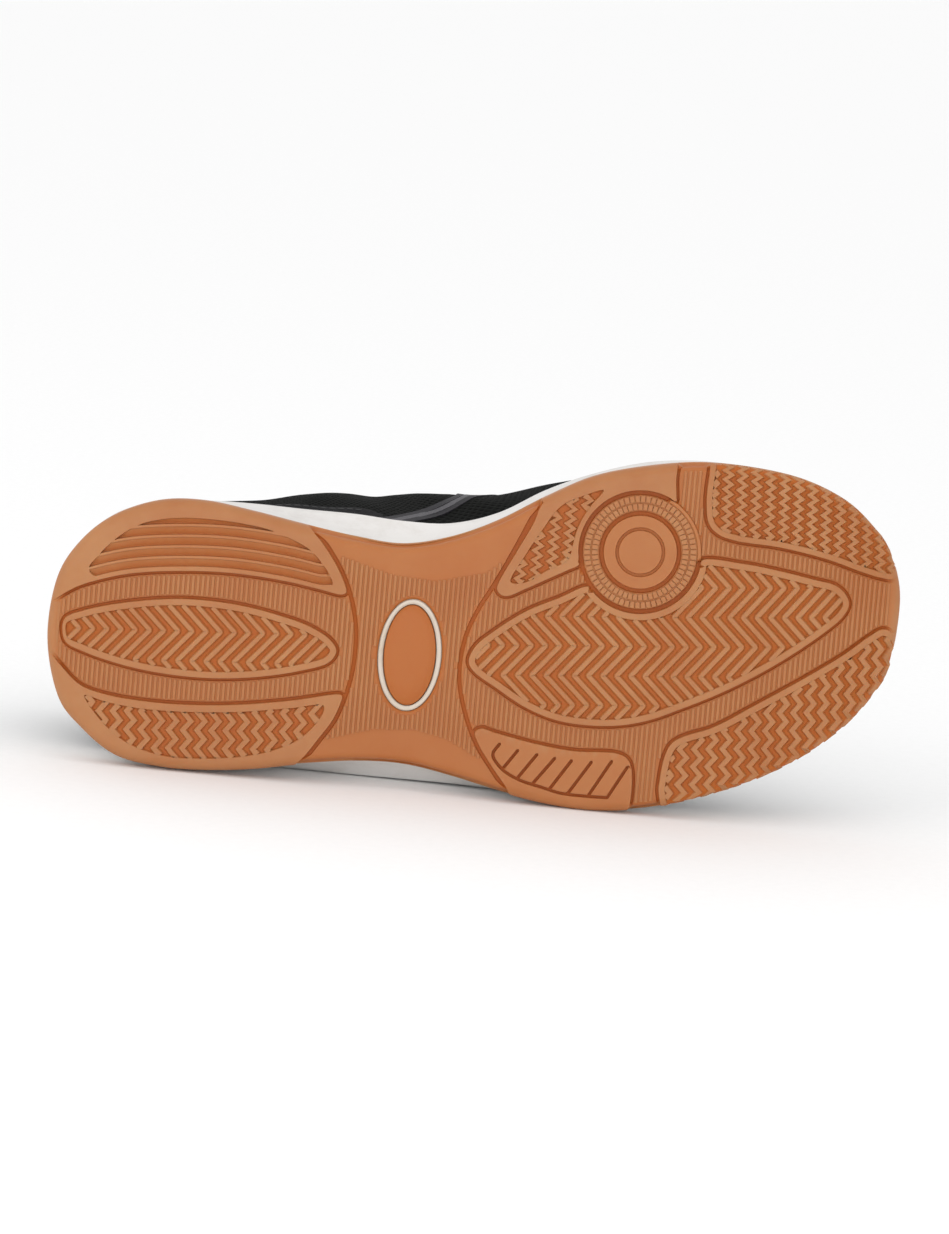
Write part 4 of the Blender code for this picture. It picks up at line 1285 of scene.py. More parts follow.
        close = np.arange(83.6, 12.0, -3.0)
        close = np.column_stack([close, self.heel_line(close) - self.band_first])
        self.bands = flowing([*self.HEEL_INNER_BANDS, *close], True)
        self.arcs = [flowing(table, False) for table in (self.HEEL_ARC, self.BALL_ARC)]
        self.slots = [flowing(self.COMB_BASE, False), *(np.array(slot) for slot in self.COMB_SLOTS)]

    def edge_run(self, side: Side, start: float, end: float) -> list[Pair]:
        """Points a little outside the sole's edge on one side, for a pad that runs over it.

        Args:
            side: side of the foot.
            start: first station.
            end: last station.

        Returns:
            Points in plan.
        """
        half = len(self.edge) // 2
        order = np.arange(half + 1) if side is Side.OUTER else -np.arange(half + 1)
        low, high = min(start, end), max(start, end)
        kept = [k for k in order if low <= self.edge[k, 0] <= high][::4]
        kept = kept if start < end else kept[::-1]
        return [tuple(self.edge[k] + self.overhang * self.edge_normal[k]) for k in kept]

    def well(self, start: float, end: float) -> list[Pair]:
        """Arc of the turning disc's well between two angles in degrees."""
        turns = np.radians(np.linspace(start, end, 1 + round(abs(end - start) / 10)))
        return [(self.disc[0] + self.disc_well * math.cos(a), self.disc[1] + self.disc_well * math.sin(a))
                for a in turns]

    def circle(self, radius: float, count: int = 96) -> Points:
        """A circle of points round the turning disc's centre."""
        turns = np.linspace(0, 2 * math.pi, count, endpoint=False)
        return np.array(self.disc) + radius * np.column_stack([np.cos(turns), np.sin(turns)])

    def oval(self, margin: float) -> Points:
        """The window's leaning oval.

        Args:
            margin: how far it is grown.

        Returns:
            Points in plan.
        """
        turns = np.linspace(0, 2 * math.pi, 72, endpoint=False)
        points = (np.array(self.window_half) + margin) * np.column_stack([-np.cos(turns), np.sin(turns)])
        points[:, 0] += self.window_lean * points[:, 1]
        return np.array(self.window) + points

    def beside_edge(self, plan: Points) -> tuple[Points, Points, Points]:
        """Where points lie beside the sole's edge.

        Args:
            plan: points in plan.

        Returns:
            Distances inside the edge, nearest points of the edge, and its outward normals there.
        """
        far, spot = distance_to(self.edge, plan, True)
        first = np.floor(spot).astype(int) % len(self.edge)
        share = (spot - np.floor(spot))[:, None]
        after = (first + 1) % len(self.edge)
        near = self.edge[first] * (1 - share) + self.edge[after] * share
        normal = self.edge_normal[first] * (1 - share) + self.edge_normal[after] * share
        return np.where(is_inside(self.edge, plan), far, -far), near, normal

    def pad_gap(self, plan: Points) -> Points:
        """Distance to the nearest pad.

        Args:
            plan: points in plan.

        Returns:
            One distance for each point, zero on a pad.
        """
        gap = np.full(len(plan), 99.0)
        for pad in self.pads:
            low, high = pad.min(axis=0) - 3.0, pad.max(axis=0) + 3.0
            near = np.flatnonzero(((plan > low) & (plan < high)).all(axis=1))
            found = distance_to(pad, plan[near], True)[0]
            gap[near] = np.minimum(gap[near], np.where(is_inside(pad, plan[near]), 0.0, found))
        return gap

    def heel_line(self, x: Points) -> Points:
        """The grooved side of the inner heel pad, which its bands follow."""
        return np.interp(x, *flowing(self.HEEL_INNER[2:9], False).T)

    def recess(self, plan: Points, edge: Points) -> tuple[Points, Points]:
        """How far each point of the tread lies in from the pads' tops, and how dark the rubber is there, as
        shade painted into the cuts.

        Args:
            plan: points in plan.
            edge: their distances inside the sole's edge.

        Returns:
            Depths in millimetres, and tints from 0 on a top to 1 in a groove, which paint shade into the
            cuts.
        """
        gap = self.pad_gap(plan)
        depth = np.interp(gap, self.pad_steps, (0.0, self.groove, self.groove, self.channel))
        # Grooves round the pads get the darkest painted shade, channel floors less
        tint = np.interp(gap, self.pad_steps, (0.0, 1.0, 1.0, self.channel_floor_shade))
        tint = np.where((gap > self.pad_steps[-1]) & ~self.in_waist(plan), self.waist_band_shade, tint)

        def carve(lines: Sequence[Points], steps: Pair, deep: float, dark: float) -> None:
            """Cuts grooves along open lines, with painted shade as deep as each cut."""
            nonlocal depth, tint
            for line in lines:
                cut = np.interp(distance_to(line, plan, False)[0], steps, (1.0, 0.0))
                depth, tint = np.maximum(depth, deep * cut), np.maximum(tint, dark * cut)

        carve(self.arcs, self.arc_steps, self.groove, 1.0)
        at_end = (plan[:, 0] < self.tread_ends[0]) | (plan[:, 0] > self.tread_ends[1])
        fade = np.where(at_end, np.clip((edge - self.end_fade[0]) / self.end_fade[1], 0.0, 1.0), 1.0)
        depth, tint = depth * fade, tint * fade
        carve(self.slots, self.slot_steps, self.slot_depth, self.slot_shade)
        # Sunk fields, the heel bands and the disc get painted shade that follows their depth
        for outline, _ in self.fields:
            inside = is_inside(outline, plan)
            wall = np.clip(distance_to(outline, plan[inside], True)[0] / self.field_wall, 0.0, 1.0)
            depth[inside] = self.sunk * wall * np.interp(edge[inside], *self.field_fade)
            tint[inside] = self.field_shade * wall
        inside = is_inside(self.bands, plan)
        wall = distance_to(self.bands, plan[inside], True)[0]
        step = (self.heel_line(plan[inside, 0]) - plan[inside, 1] - self.band_first) / self.band_pitch
        tooth = np.interp(step - np.floor(step), self.band_shares, self.band_levels)
        deepest = np.interp(wall, (0.0, self.band_wall), (0.0, max(self.band_levels)))
        depth[inside] = np.minimum(tooth, deepest)
        tint[inside] = depth[inside] / self.band_shade
        away = plan - self.disc
        radius, angle = np.hypot(*away.T), np.degrees(np.arctan2(away[:, 1], away[:, 0]))
        is_open = (angle > self.open_side[0]) & (angle < self.open_side[1])
        on_disc = radius < self.disc_radii[-1] + 1e-6
        for side, levels in ((on_disc & ~is_open, self.disc_levels), (on_disc & is_open, self.open_levels)):
            depth[side] = np.interp(radius[side], self.disc_radii, levels)
            tint[side] = depth[side] / self.disc_shade
        is_bare = is_inside(self.comb_pad, plan) | on_disc
        return depth, np.maximum(tint, np.where(is_bare, self.bare_tint, self.top_tint))

    def in_waist(self, plan: Points) -> np.ndarray:
        """Which points lie between the smooth borders of the waist, or outside the waist altogether.

        Args:
            plan: points in plan.

        Returns:
            One flag for each point.
        """
        x, y = plan.T
        inner, outer = (np.interp(x, *np.array(table).T) for table in (self.WAIST_INNER, self.WAIST_OUTER))
        beside = (x > self.waist_ends[0]) & (x < self.waist_ends[1])
        return ~beside | ((y > inner) & (y < outer))

    def surface(self, plan: Points, depth: float) -> Path:
        """Points of the tread that lie a depth in from its smooth skin, which rolls over the sole's edge.

        Args:
            plan: points in plan. Beyond the edge they wrap up the side wall.
            depth: their depth in millimetres.

        Returns:
            Points in space, and the skin's normals there.
        """
        edge, near, normal = self.beside_edge(plan)
        rolled = self.edge_radius - edge
        turn = np.clip(rolled / self.edge_radius, 0.0, math.pi / 2)
        climb = np.maximum(rolled - self.edge_radius * math.pi / 2, 0.0)
        inset = self.edge_radius * (1 - np.sin(turn))
        flat = np.where((rolled > 0)[:, None], near - normal * inset[:, None], plan)
        lift = height("ground", flat[:, 0]) + self.edge_radius * (1 - np.cos(turn)) + climb
        facing = np.column_stack([normal * np.sin(turn)[:, None], -np.cos(turn)])
        return np.column_stack([flat, lift]) - facing * depth, facing

    def is_ribbed(self, plan: Points) -> np.ndarray:
        """Which points lie on the ribbed floor of a channel or the waist.

        Args:
            plan: points in plan.

        Returns:
            One flag for each point.
        """
        from_edge, from_pad, from_arc, from_disc, from_window = self.rib_gaps
        kept = (self.beside_edge(plan)[0] > from_edge) & (self.pad_gap(plan) > from_pad) & self.in_waist(plan)
        for arc in self.arcs:
            kept &= distance_to(arc, plan, False)[0] > from_arc
        kept &= np.hypot(*(plan - self.disc).T) > self.disc_radii[-1] + from_disc
        return kept & ~is_inside(self.oval(from_window), plan)

    def rib_lines(self) -> list[Points]:
        """Centre lines of the fine ribs that run across the channels and the waist.

        Returns:
            Both ends of each rib, in plan.
        """
        y = np.arange(*ACROSS, 0.2)
        x = np.arange(0.02, 255.0, self.rib_pitch)[:, None] + self.rib_lean * y
        spots = np.column_stack([x.ravel(), np.broadcast_to(y, x.shape).ravel()])
        flags = self.is_ribbed(spots).reshape(x.shape)
        return [np.array([(row[k], y[k]) for k in (run[0], run[-1])])
                for row, ribbed in zip(x, flags) for run in runs_of(ribbed) if len(run) > 4]

    def drawn_lines(self) -> list[tuple[Points, bool]]:
        """Every line that the tread's mesh has to follow.

        Returns:
            The lines in plan, each with whether it is closed.
        """
        lines = [(grown(pad, d), True) for pad in self.pads for d in self.pad_steps]
        lines += [(grown(outline, -d), True) for outline, _ in self.fields for d in (0.0, self.field_wall)]
        lines += [(grown(self.bands, -d), True) for d in (0.0, self.band_wall)]
        x = np.arange(*self.band_ends, 1.0)
        for k in range(self.band_count):
            for share in self.band_shares[:-1]:
                y = self.heel_line(x) - self.band_first - (k + share) * self.band_pitch
                line = np.column_stack([x, y])
                lines += [(line[run], False) for run in runs_of(is_inside(self.bands, line)) if len(run) > 1]
        for cuts, steps in ((self.arcs, self.arc_steps), (self.slots, self.slot_steps)):
            lines += [(capsule(cut, d), True) for cut in cuts for d in steps]
        lines += [(self.circle(radius), True) for radius in self.disc_radii]
        lines += [(self.oval(margin), True) for margin in (0.0, self.window_chamfer)]
        return lines


@dataclass
class Outsole:
    """Gum-rubber cup sole: tread relief, ridges, ribs, grip blocks, side wall and the cup inside."""

    tread: Tread
    thickness: float = 5.0
    wall_rows: Rows = ((4.2, 1.0), (5.6, 0.5), (6.2, 0.0))
    crest_rows: Rows = ((0.3, -0.6), (0.8, -0.1), (1.6, 0.0), (2.0, -0.2))
    cup_inset: float = 2.3
    # Painted shade on the window's inner wall
    window_hole_shade: float = 0.7
    grid: float = 3.0
    grid_inset: float = 3.5
    edge_rings: Run = (0.12, 0.5, 1.15, 2.0, 3.0)
    ridge_level: float = 0.06
    ridge_flank: float = 0.6
    ridge_depth: float = 1.1
    # Painted shade at the top and the foot of the ridges
    ridge_shades: Pair = (0.06, 0.8)
    rib_rise: float = 0.36
    rib_widths: Pair = (0.68, 1.0)
    rib_depth: float = 0.5
    # Painted shade at the top and the foot of the ribs
    rib_shades: Pair = (0.2, 0.44)
    block_rows: tuple[tuple[float, int], ...] = ((15.5, 62), (13.2, 56))
    block_level: float = 0.12
    block_size: Triple = (1.4, 2.0, 0.6)
    # Painted shade at the top and the foot of the blocks
    block_shades: Pair = (0.15, 0.4)

    def plan(self) -> tuple[Points, Points, list[tuple[int, ...]], list[int], list[int]]:
        """Triangulates the tread in plan along its drawn lines.

        Returns:
            Points, their distances inside the edge, triangles, and the boundary's points round the sole and
            round the window, both in order.
        """
        tread = self.tread
        pieces: list[Points] = [tread.edge]
        count = len(tread.edge)
        links = neighbours(count)
        lines = [*tread.drawn_lines(), *((grown(tread.edge, -d), True) for d in self.edge_rings)]
        for line, closed in lines:
            inside = is_inside(tread.edge, line) & (distance_to(tread.edge, line, True)[0] > 0.05)
            order = np.arange(len(line) + closed) % len(line)
            pairs = zip(order[:-1], order[1:])
            links += [(count + a, count + b) for a, b in pairs if inside[a] and inside[b]]
            pieces.append(line)
            count += len(line)
        x, y = np.arange(2.0, 250.0, self.grid), np.arange(*ACROSS, self.grid)
        spots = np.stack(np.meshgrid(x, y, indexing="ij"), axis=-1).reshape(-1, 2)
        spots = spots[is_inside(grown(tread.edge, -self.grid_inset), spots)]
        points = np.concatenate([*pieces, spots])
        flat, _, triangles, *_ = delaunay_2d_cdt([Vector(p) for p in points], links, [], 0, 2e-3)
        flat = np.array([tuple(p) for p in flat])
        middles = np.array([flat[list(t)].mean(axis=0) for t in triangles])
        kept = is_inside(tread.edge, middles) & ~is_inside(tread.oval(0.0), middles)
        used, faces = np.unique([t for t, keep in zip(triangles, kept) if keep], return_inverse=True)
        flat, faces = flat[used], [tuple(map(int, t)) for t in faces.reshape(-1, 3)]
        rims = sorted(self.boundaries(faces), key=lambda rim: -np.ptp(flat[rim, 0]))
        return flat, tread.beside_edge(flat)[0], faces, rims[0], rims[1]

    @staticmethod
    def boundaries(faces: Sequence[tuple[int, ...]]) -> list[list[int]]:
        """Open borders of a set of faces, each as its points in order.

        Args:
            faces: triangles with one direction of turning.

        Returns:
            The borders.
        """
        sides = {(f[k], f[(k + 1) % 3]) for f in faces for k in range(3)}
        ahead = {a: b for a, b in sides if (b, a) not in sides}
        rims = []
        while ahead:
            start, step = next(iter(ahead.items()))
            del ahead[start]
            rim = [start]
            while step != start:
                rim.append(step)
                step = ahead.pop(step)
            rims.append(rim)
        return rims

    def base(self) -> Object:
        """The moulded cup with its relief.

        Returns:
            The piece.
        """
        tread = self.tread
        flat, edge, faces, rim, hole = self.plan()
        depth, tint = tread.recess(flat, edge)
        ring = distance_to(tread.oval(0.0), flat, True)[0]
        depth = np.where(ring < tread.window_chamfer, depth + tread.window_chamfer - ring, depth)
        # Painted amber glow: the rubber round the window is mixed darker and warmer
        reach, share = tread.window_painted_glow
        tint = np.maximum(tint, share * (1 - ring / reach))
        sine = np.clip(1 - edge / tread.edge_radius, 0.0, 1.0)
        cosine = np.sqrt(1 - sine**2)
        normal = tread.beside_edge(flat)[2]
        lift = height("ground", flat[:, 0]) + tread.edge_radius * (1 - cosine) + depth * cosine
        skin = np.column_stack([flat - normal * (depth * sine)[:, None], lift])
        border, out, sunk = flat[rim], normal[rim], depth[rim]
        ground, top = height("ground", border[:, 0]), height("rim", border[:, 0])
        walls = []
        # The side wall carries on the painted shade of the cuts that reach it
        for climb, share in self.wall_rows:
            cut = sunk * share
            wall = np.column_stack([border - out * cut[:, None], ground + climb])
            walls.append((wall, np.maximum(cut / tread.disc_shade, tread.top_tint)))
        crest = [(gap, top + lift) for gap, lift in self.crest_rows]
        for gap, heights in (*crest, (self.cup_inset, ground + self.thickness)):
            walls.append((np.column_stack([border - out * gap, heights]), tread.top_tint))
        window = [(ring_at(flat[hole], "ground", self.thickness), self.window_hole_shade)]
        points, recess, ends, count = [skin], [tint], [], len(flat)
        for low, rings in ((rim, walls), (hole, window)):
            for ring_points, cut in rings:
                high = list(range(count, count + len(low)))
                faces += [(low[k], low[after], high[after], high[k]) for k, after in neighbours(len(low))]
                points.append(ring_points)
                recess.append(np.broadcast_to(cut, len(low)))
                low, count = high, count + len(high)
            ends.append(low)
        faces += self.cup_floor(points, *ends)
        piece = make_piece("gum_outsole", Draft(np.concatenate(points), faces), [GUM], 30.0)
        paint_light_on_rubber(piece, np.concatenate(recess))
        return piece

    @staticmethod
    def cup_floor(points: list[Points], rim: list[int], hole: list[int]) -> list[tuple[int, ...]]:
        """Faces of the cup's floor between its rim and the window.

        Args:
            points: the cup's points so far.
            rim: numbers of the points at the foot of the side wall.
            hole: numbers of the points round the window.

        Returns:
            The faces.
        """
        stack = np.concatenate(points)
        order = [*rim, *hole]
        flat = stack[order][:, :2]
        links = neighbours(len(rim)) + neighbours(len(hole), len(rim))
        made = delaunay_2d_cdt([Vector(p) for p in flat], links, [], 0, 1e-9)
        middles = np.array([flat[[made[3][v][0] for v in t]].mean(axis=0) for t in made[2]])
        kept = is_inside(flat[: len(rim)], middles) & ~is_inside(flat[len(rim) :], middles)
        return [tuple(order[made[3][v][0]] for v in t) for t, keep in zip(made[2], kept) if keep]

    def build(self) -> None:
        """Makes the cup and the ridges, ribs and blocks moulded on it."""
        tread = self.tread
        settle(self.base(), "gum_rubber", "outsole")
        bars = [
            (f"tread_ridges_{number}", cut.lines(outline), self.ridge_level, self.ridge_depth,
             (cut.top, cut.top + 2 * self.ridge_flank), self.ridge_shades)
            for number, (outline, cut) in enumerate(tread.fields, 1)]
        bars.append(("channel_ribs", tread.rib_lines(), tread.channel - self.rib_rise, self.rib_depth,
                     self.rib_widths, self.rib_shades))
        for name, lines, level, depth, widths, tints in bars:
            paths = [tread.surface(line, level) for line in lines]
            settle(ridge_tree().make(
                name, paths, GUM, top_width=widths[0], foot_width=widths[1], depth=depth, top_recess=tints[0],
                foot_recess=tints[1]), "gum_rubber")
        rings = [tread.surface(tread.circle(*row), self.block_level) for row in self.block_rows]
        (length, width, depth), (top, foot) = self.block_size, self.block_shades
        settle(block_tree().make(
            "disc_blocks", rings, GUM, length=length, width=width, depth=depth, top_recess=top,
            foot_recess=foot), "gum_rubber")


@dataclass
class WindowPlug:
    """Plain domed rubber plug in the waist window."""

    tread: Tread
    ring: float = 1.8
    low: float = 1.2
    # Painted amber glow on the plug, on the scale of the rubber's painted shade
    tint: float = 0.58
    rows: Rows = ((0.0, 3.8), (0.0, 0.8), (0.25, 0.3), (0.8, 0.0), (2.4, -0.35), (4.4, -0.6), (6.2, -0.7))

    def build(self) -> None:
        """Makes the plug, low and domed on the tread's side."""
        rings = [ring_at(self.tread.oval(-self.ring - inset), "ground", self.low + drop)
                 for inset, drop in self.rows]
        piece = make_piece("window_plug_dome", loft(rings, capped=True), [GUM])
        paint_light_on_rubber(piece, self.tint)
        settle(piece, "gum_rubber", "window_plug")


@dataclass
class Midsole:
    """White foam wedge in the rubber cup, flared over the waist, with a lip round the footbed."""

    tread: Tread
    gap: float = 0.3
    floor: float = 5.0
    cup_insets: Pair = (2.3, 2.0)
    brim_rows: Rows = ((0.6, 0.0), (0.3, 0.5))
    samples: int = 8
    flank: Run = (0.12, 0.25, 0.4, 0.55, 0.7, 0.85)
    hollow: float = 0.8
    lip_rows: Rows = ((0.0, 2.2), (0.12, 1.2), (0.55, 0.4), (1.1, 0.05), (1.9, 0.3), (2.5, 1.6))
    bed_inset: float = 2.8
    bead_rows: Rows = (
        (0.12, 4.9), (0.12, 1.9), (0.4, 1.5), (0.9, 1.35), (1.3, 1.5), (1.62, 1.9), (1.62, 4.9))

    def build(self) -> None:
        """Makes the wedge and the ring of it that shows in the window."""
        u = positions(self.samples)
        tread, lip = plan_loop(Outline.TREAD, u), plan_loop(Outline.LIP, u)
        (foot, crest), gap = self.cup_insets, self.gap
        rings = [ring_at(grown(tread, -foot - gap), "ground", self.floor + gap),
                 ring_at(grown(tread, -crest - gap), "rim", gap)]
        rings += [ring_at(grown(tread, -inset), "rim", lift + gap) for inset, lift in self.brim_rows]
        start, end = rings[-1], ring_at(lip, "lip", -self.lip_rows[0][1])
        for share in self.flank:
            blend = start * (1 - share) + end * share
            blend[:, :2] -= outward(lip) * (self.hollow * math.sin(math.pi * share))
            rings.append(blend)
        rings += [ring_at(grown(lip, -inset), "lip", -drop) for inset, drop in self.lip_rows]
        rings.append(ring_at(grown(lip, -self.bed_inset), "bed"))
        settle(make_piece("foam_midsole", loft(rings, capped=True), [FOAM]), "white_foam", "midsole")
        bead = [ring_at(self.tread.oval(-inset), "ground", lift) for inset, lift in self.bead_rows]
        settle(make_piece("window_ring", loft(bead, is_loop=True), [SHADED_WINDOW_FOAM]), "white_foam")


class UpperRibs:
    """Faces of the upper over the ribs that climb from the footbed to the top line."""

    WALL, FOOT_INSET, FOOT_LIFT, PAD_FROM, PAD_FULL = 2.2, 3.1, 0.3, 0.55, 0.95
    # Lead along the rib, length and height of each family of folds
    FOLDS = ((-40.0, 3.1, 0.22), (70.0, 5.5, 0.2))
    # Stations and shares of the ribs between which the folds rise, stay and fade
    FOLD_ALONG, FOLD_UP = (62.0, 87.0, 135.0, 165.0), (0.06, 0.18, 0.42, 0.62)

    def __init__(self, u: Any) -> None:
        """Ribs at the row positions u of the plan outline."""
        self.u = np.atleast_1d(np.asarray(u, float))
        self.station, self.padding, self.handles = self.curves(self.u)
        self.beside = self.curves(self.u + 0.02)[2]

    @classmethod
    def curves(cls, u: Points) -> tuple[Points, Points, tuple[Points, ...]]:
        """Shapes of the ribs at row positions.

        Args:
            u: the row positions.

        Returns:
            Their stations, collar padding and curve handles.
        """
        samples = 8
        lip = plan_loop(Outline.LIP, positions(samples))
        foot = round_loop(grown(lip, -cls.FOOT_INSET), u * samples)
        out = np.column_stack([round_loop(outward(lip), u * samples), np.zeros(len(u))])
        station = plan_loop(Outline.LIP, u)[:, 0]
        is_outer = u % ROWS <= ROWS / 2

        def rib(column: str) -> Points:
            """A column of the rib table, on the right side."""
            if column in RibRow._fields:
                return along(RIBS, column, station)
            sides = (along(RIBS, f"{column}_{side}", station) for side in ("outer", "inner"))
            return np.where(is_outer, *sides)

        up = np.array([0.0, 0.0, 1.0])
        base = ring_at(foot, "bed", cls.FOOT_LIFT)
        top = np.column_stack([rib("top_x"), rib("share") * foot[:, 1], rib("top_z")])
        low = base + out * rib("bulge")[:, None] + up * rib("rise")[:, None]
        high = top + out * rib("spread")[:, None] - up * rib("drop")[:, None]
        return station, rib("padding"), (base, low, high, top)

    @staticmethod
    def on(handles: tuple[Points, ...], v: Any) -> Points:
        """Points at the share v of each rib."""
        base, low, high, top = handles
        v = np.asarray(v, float).reshape(-1, 1)
        return base * (1 - v) ** 3 + low * 3 * v * (1 - v) ** 2 + high * 3 * v**2 * (1 - v) + top * v**3

    def each(self, v: Any) -> Points:
        """A share for each rib, from one for all or one for each."""
        return np.broadcast_to(np.asarray(v, float).ravel(), self.u.shape)

    def facing(self, v: Any) -> Points:
        """Directions out of the shoe.

        Args:
            v: shares of the ribs.

        Returns:
            Unit normals.
        """
        v = self.each(v)
        below, above = (self.on(self.handles, np.clip(v + step, 0.0, 1.0)) for step in (-1e-3, 1e-3))
        return unit(np.cross(above - below, self.on(self.beside, v) - self.on(self.handles, v)))

    def folds(self, v: Points) -> Points:
        """Soft folds of the mesh over the arch, where the foot bends the shoe.

        Args:
            v: shares of the ribs.

        Returns:
            How far the mesh stands out.
        """
        x, fade = self.station, (0.0, 1.0, 1.0, 0.0)
        waves = sum(np.sin((x + lead * v) / length) * high for lead, length, high in self.FOLDS)
        return waves * np.interp(x, self.FOLD_ALONG, fade) * np.interp(v, self.FOLD_UP, fade)

    def below_top(self, depth: Any) -> Points:
        """Places below the top line.

        Args:
            depth: distance from it, measured over the cloth.

        Returns:
            Shares of the ribs.
        """
        shares = np.linspace(1.0, 0.5, 51)
        steps = np.diff([self.on(self.handles, np.full(len(self.u), v)) for v in shares], axis=0)
        length = np.cumsum(np.linalg.norm(steps, axis=2), axis=0)
        length = np.concatenate([np.zeros((1, len(self.u))), length])
        depth = np.broadcast_to(depth, self.u.shape)
        return np.array([np.interp(d, column, shares) for d, column in zip(depth, length.T)])

    def outside(self, v: Any, lift: Any = 0.0) -> Points:
        """Points on the outer face, or a lift over it."""
        v = self.each(v)
        return self.on(self.handles, v) + self.facing(v) * (self.folds(v) + lift)[:, None]

    def inside(self, v: Any, clearance: float = 0.0) -> Points:
        """Points on the inner face, which lies deeper towards a padded collar.

        Args:
            v: shares of the ribs.
            clearance: further distance inwards.

        Returns:
            One point for each rib.
        """
        v = self.each(v)
        share = np.clip((v - self.PAD_FROM) / (self.PAD_FULL - self.PAD_FROM), 0.0, 1.0)
        thickness = self.WALL + self.padding * share * share * (3 - 2 * share) + clearance
        return self.on(self.handles, v) - self.facing(v) * thickness[:, None]


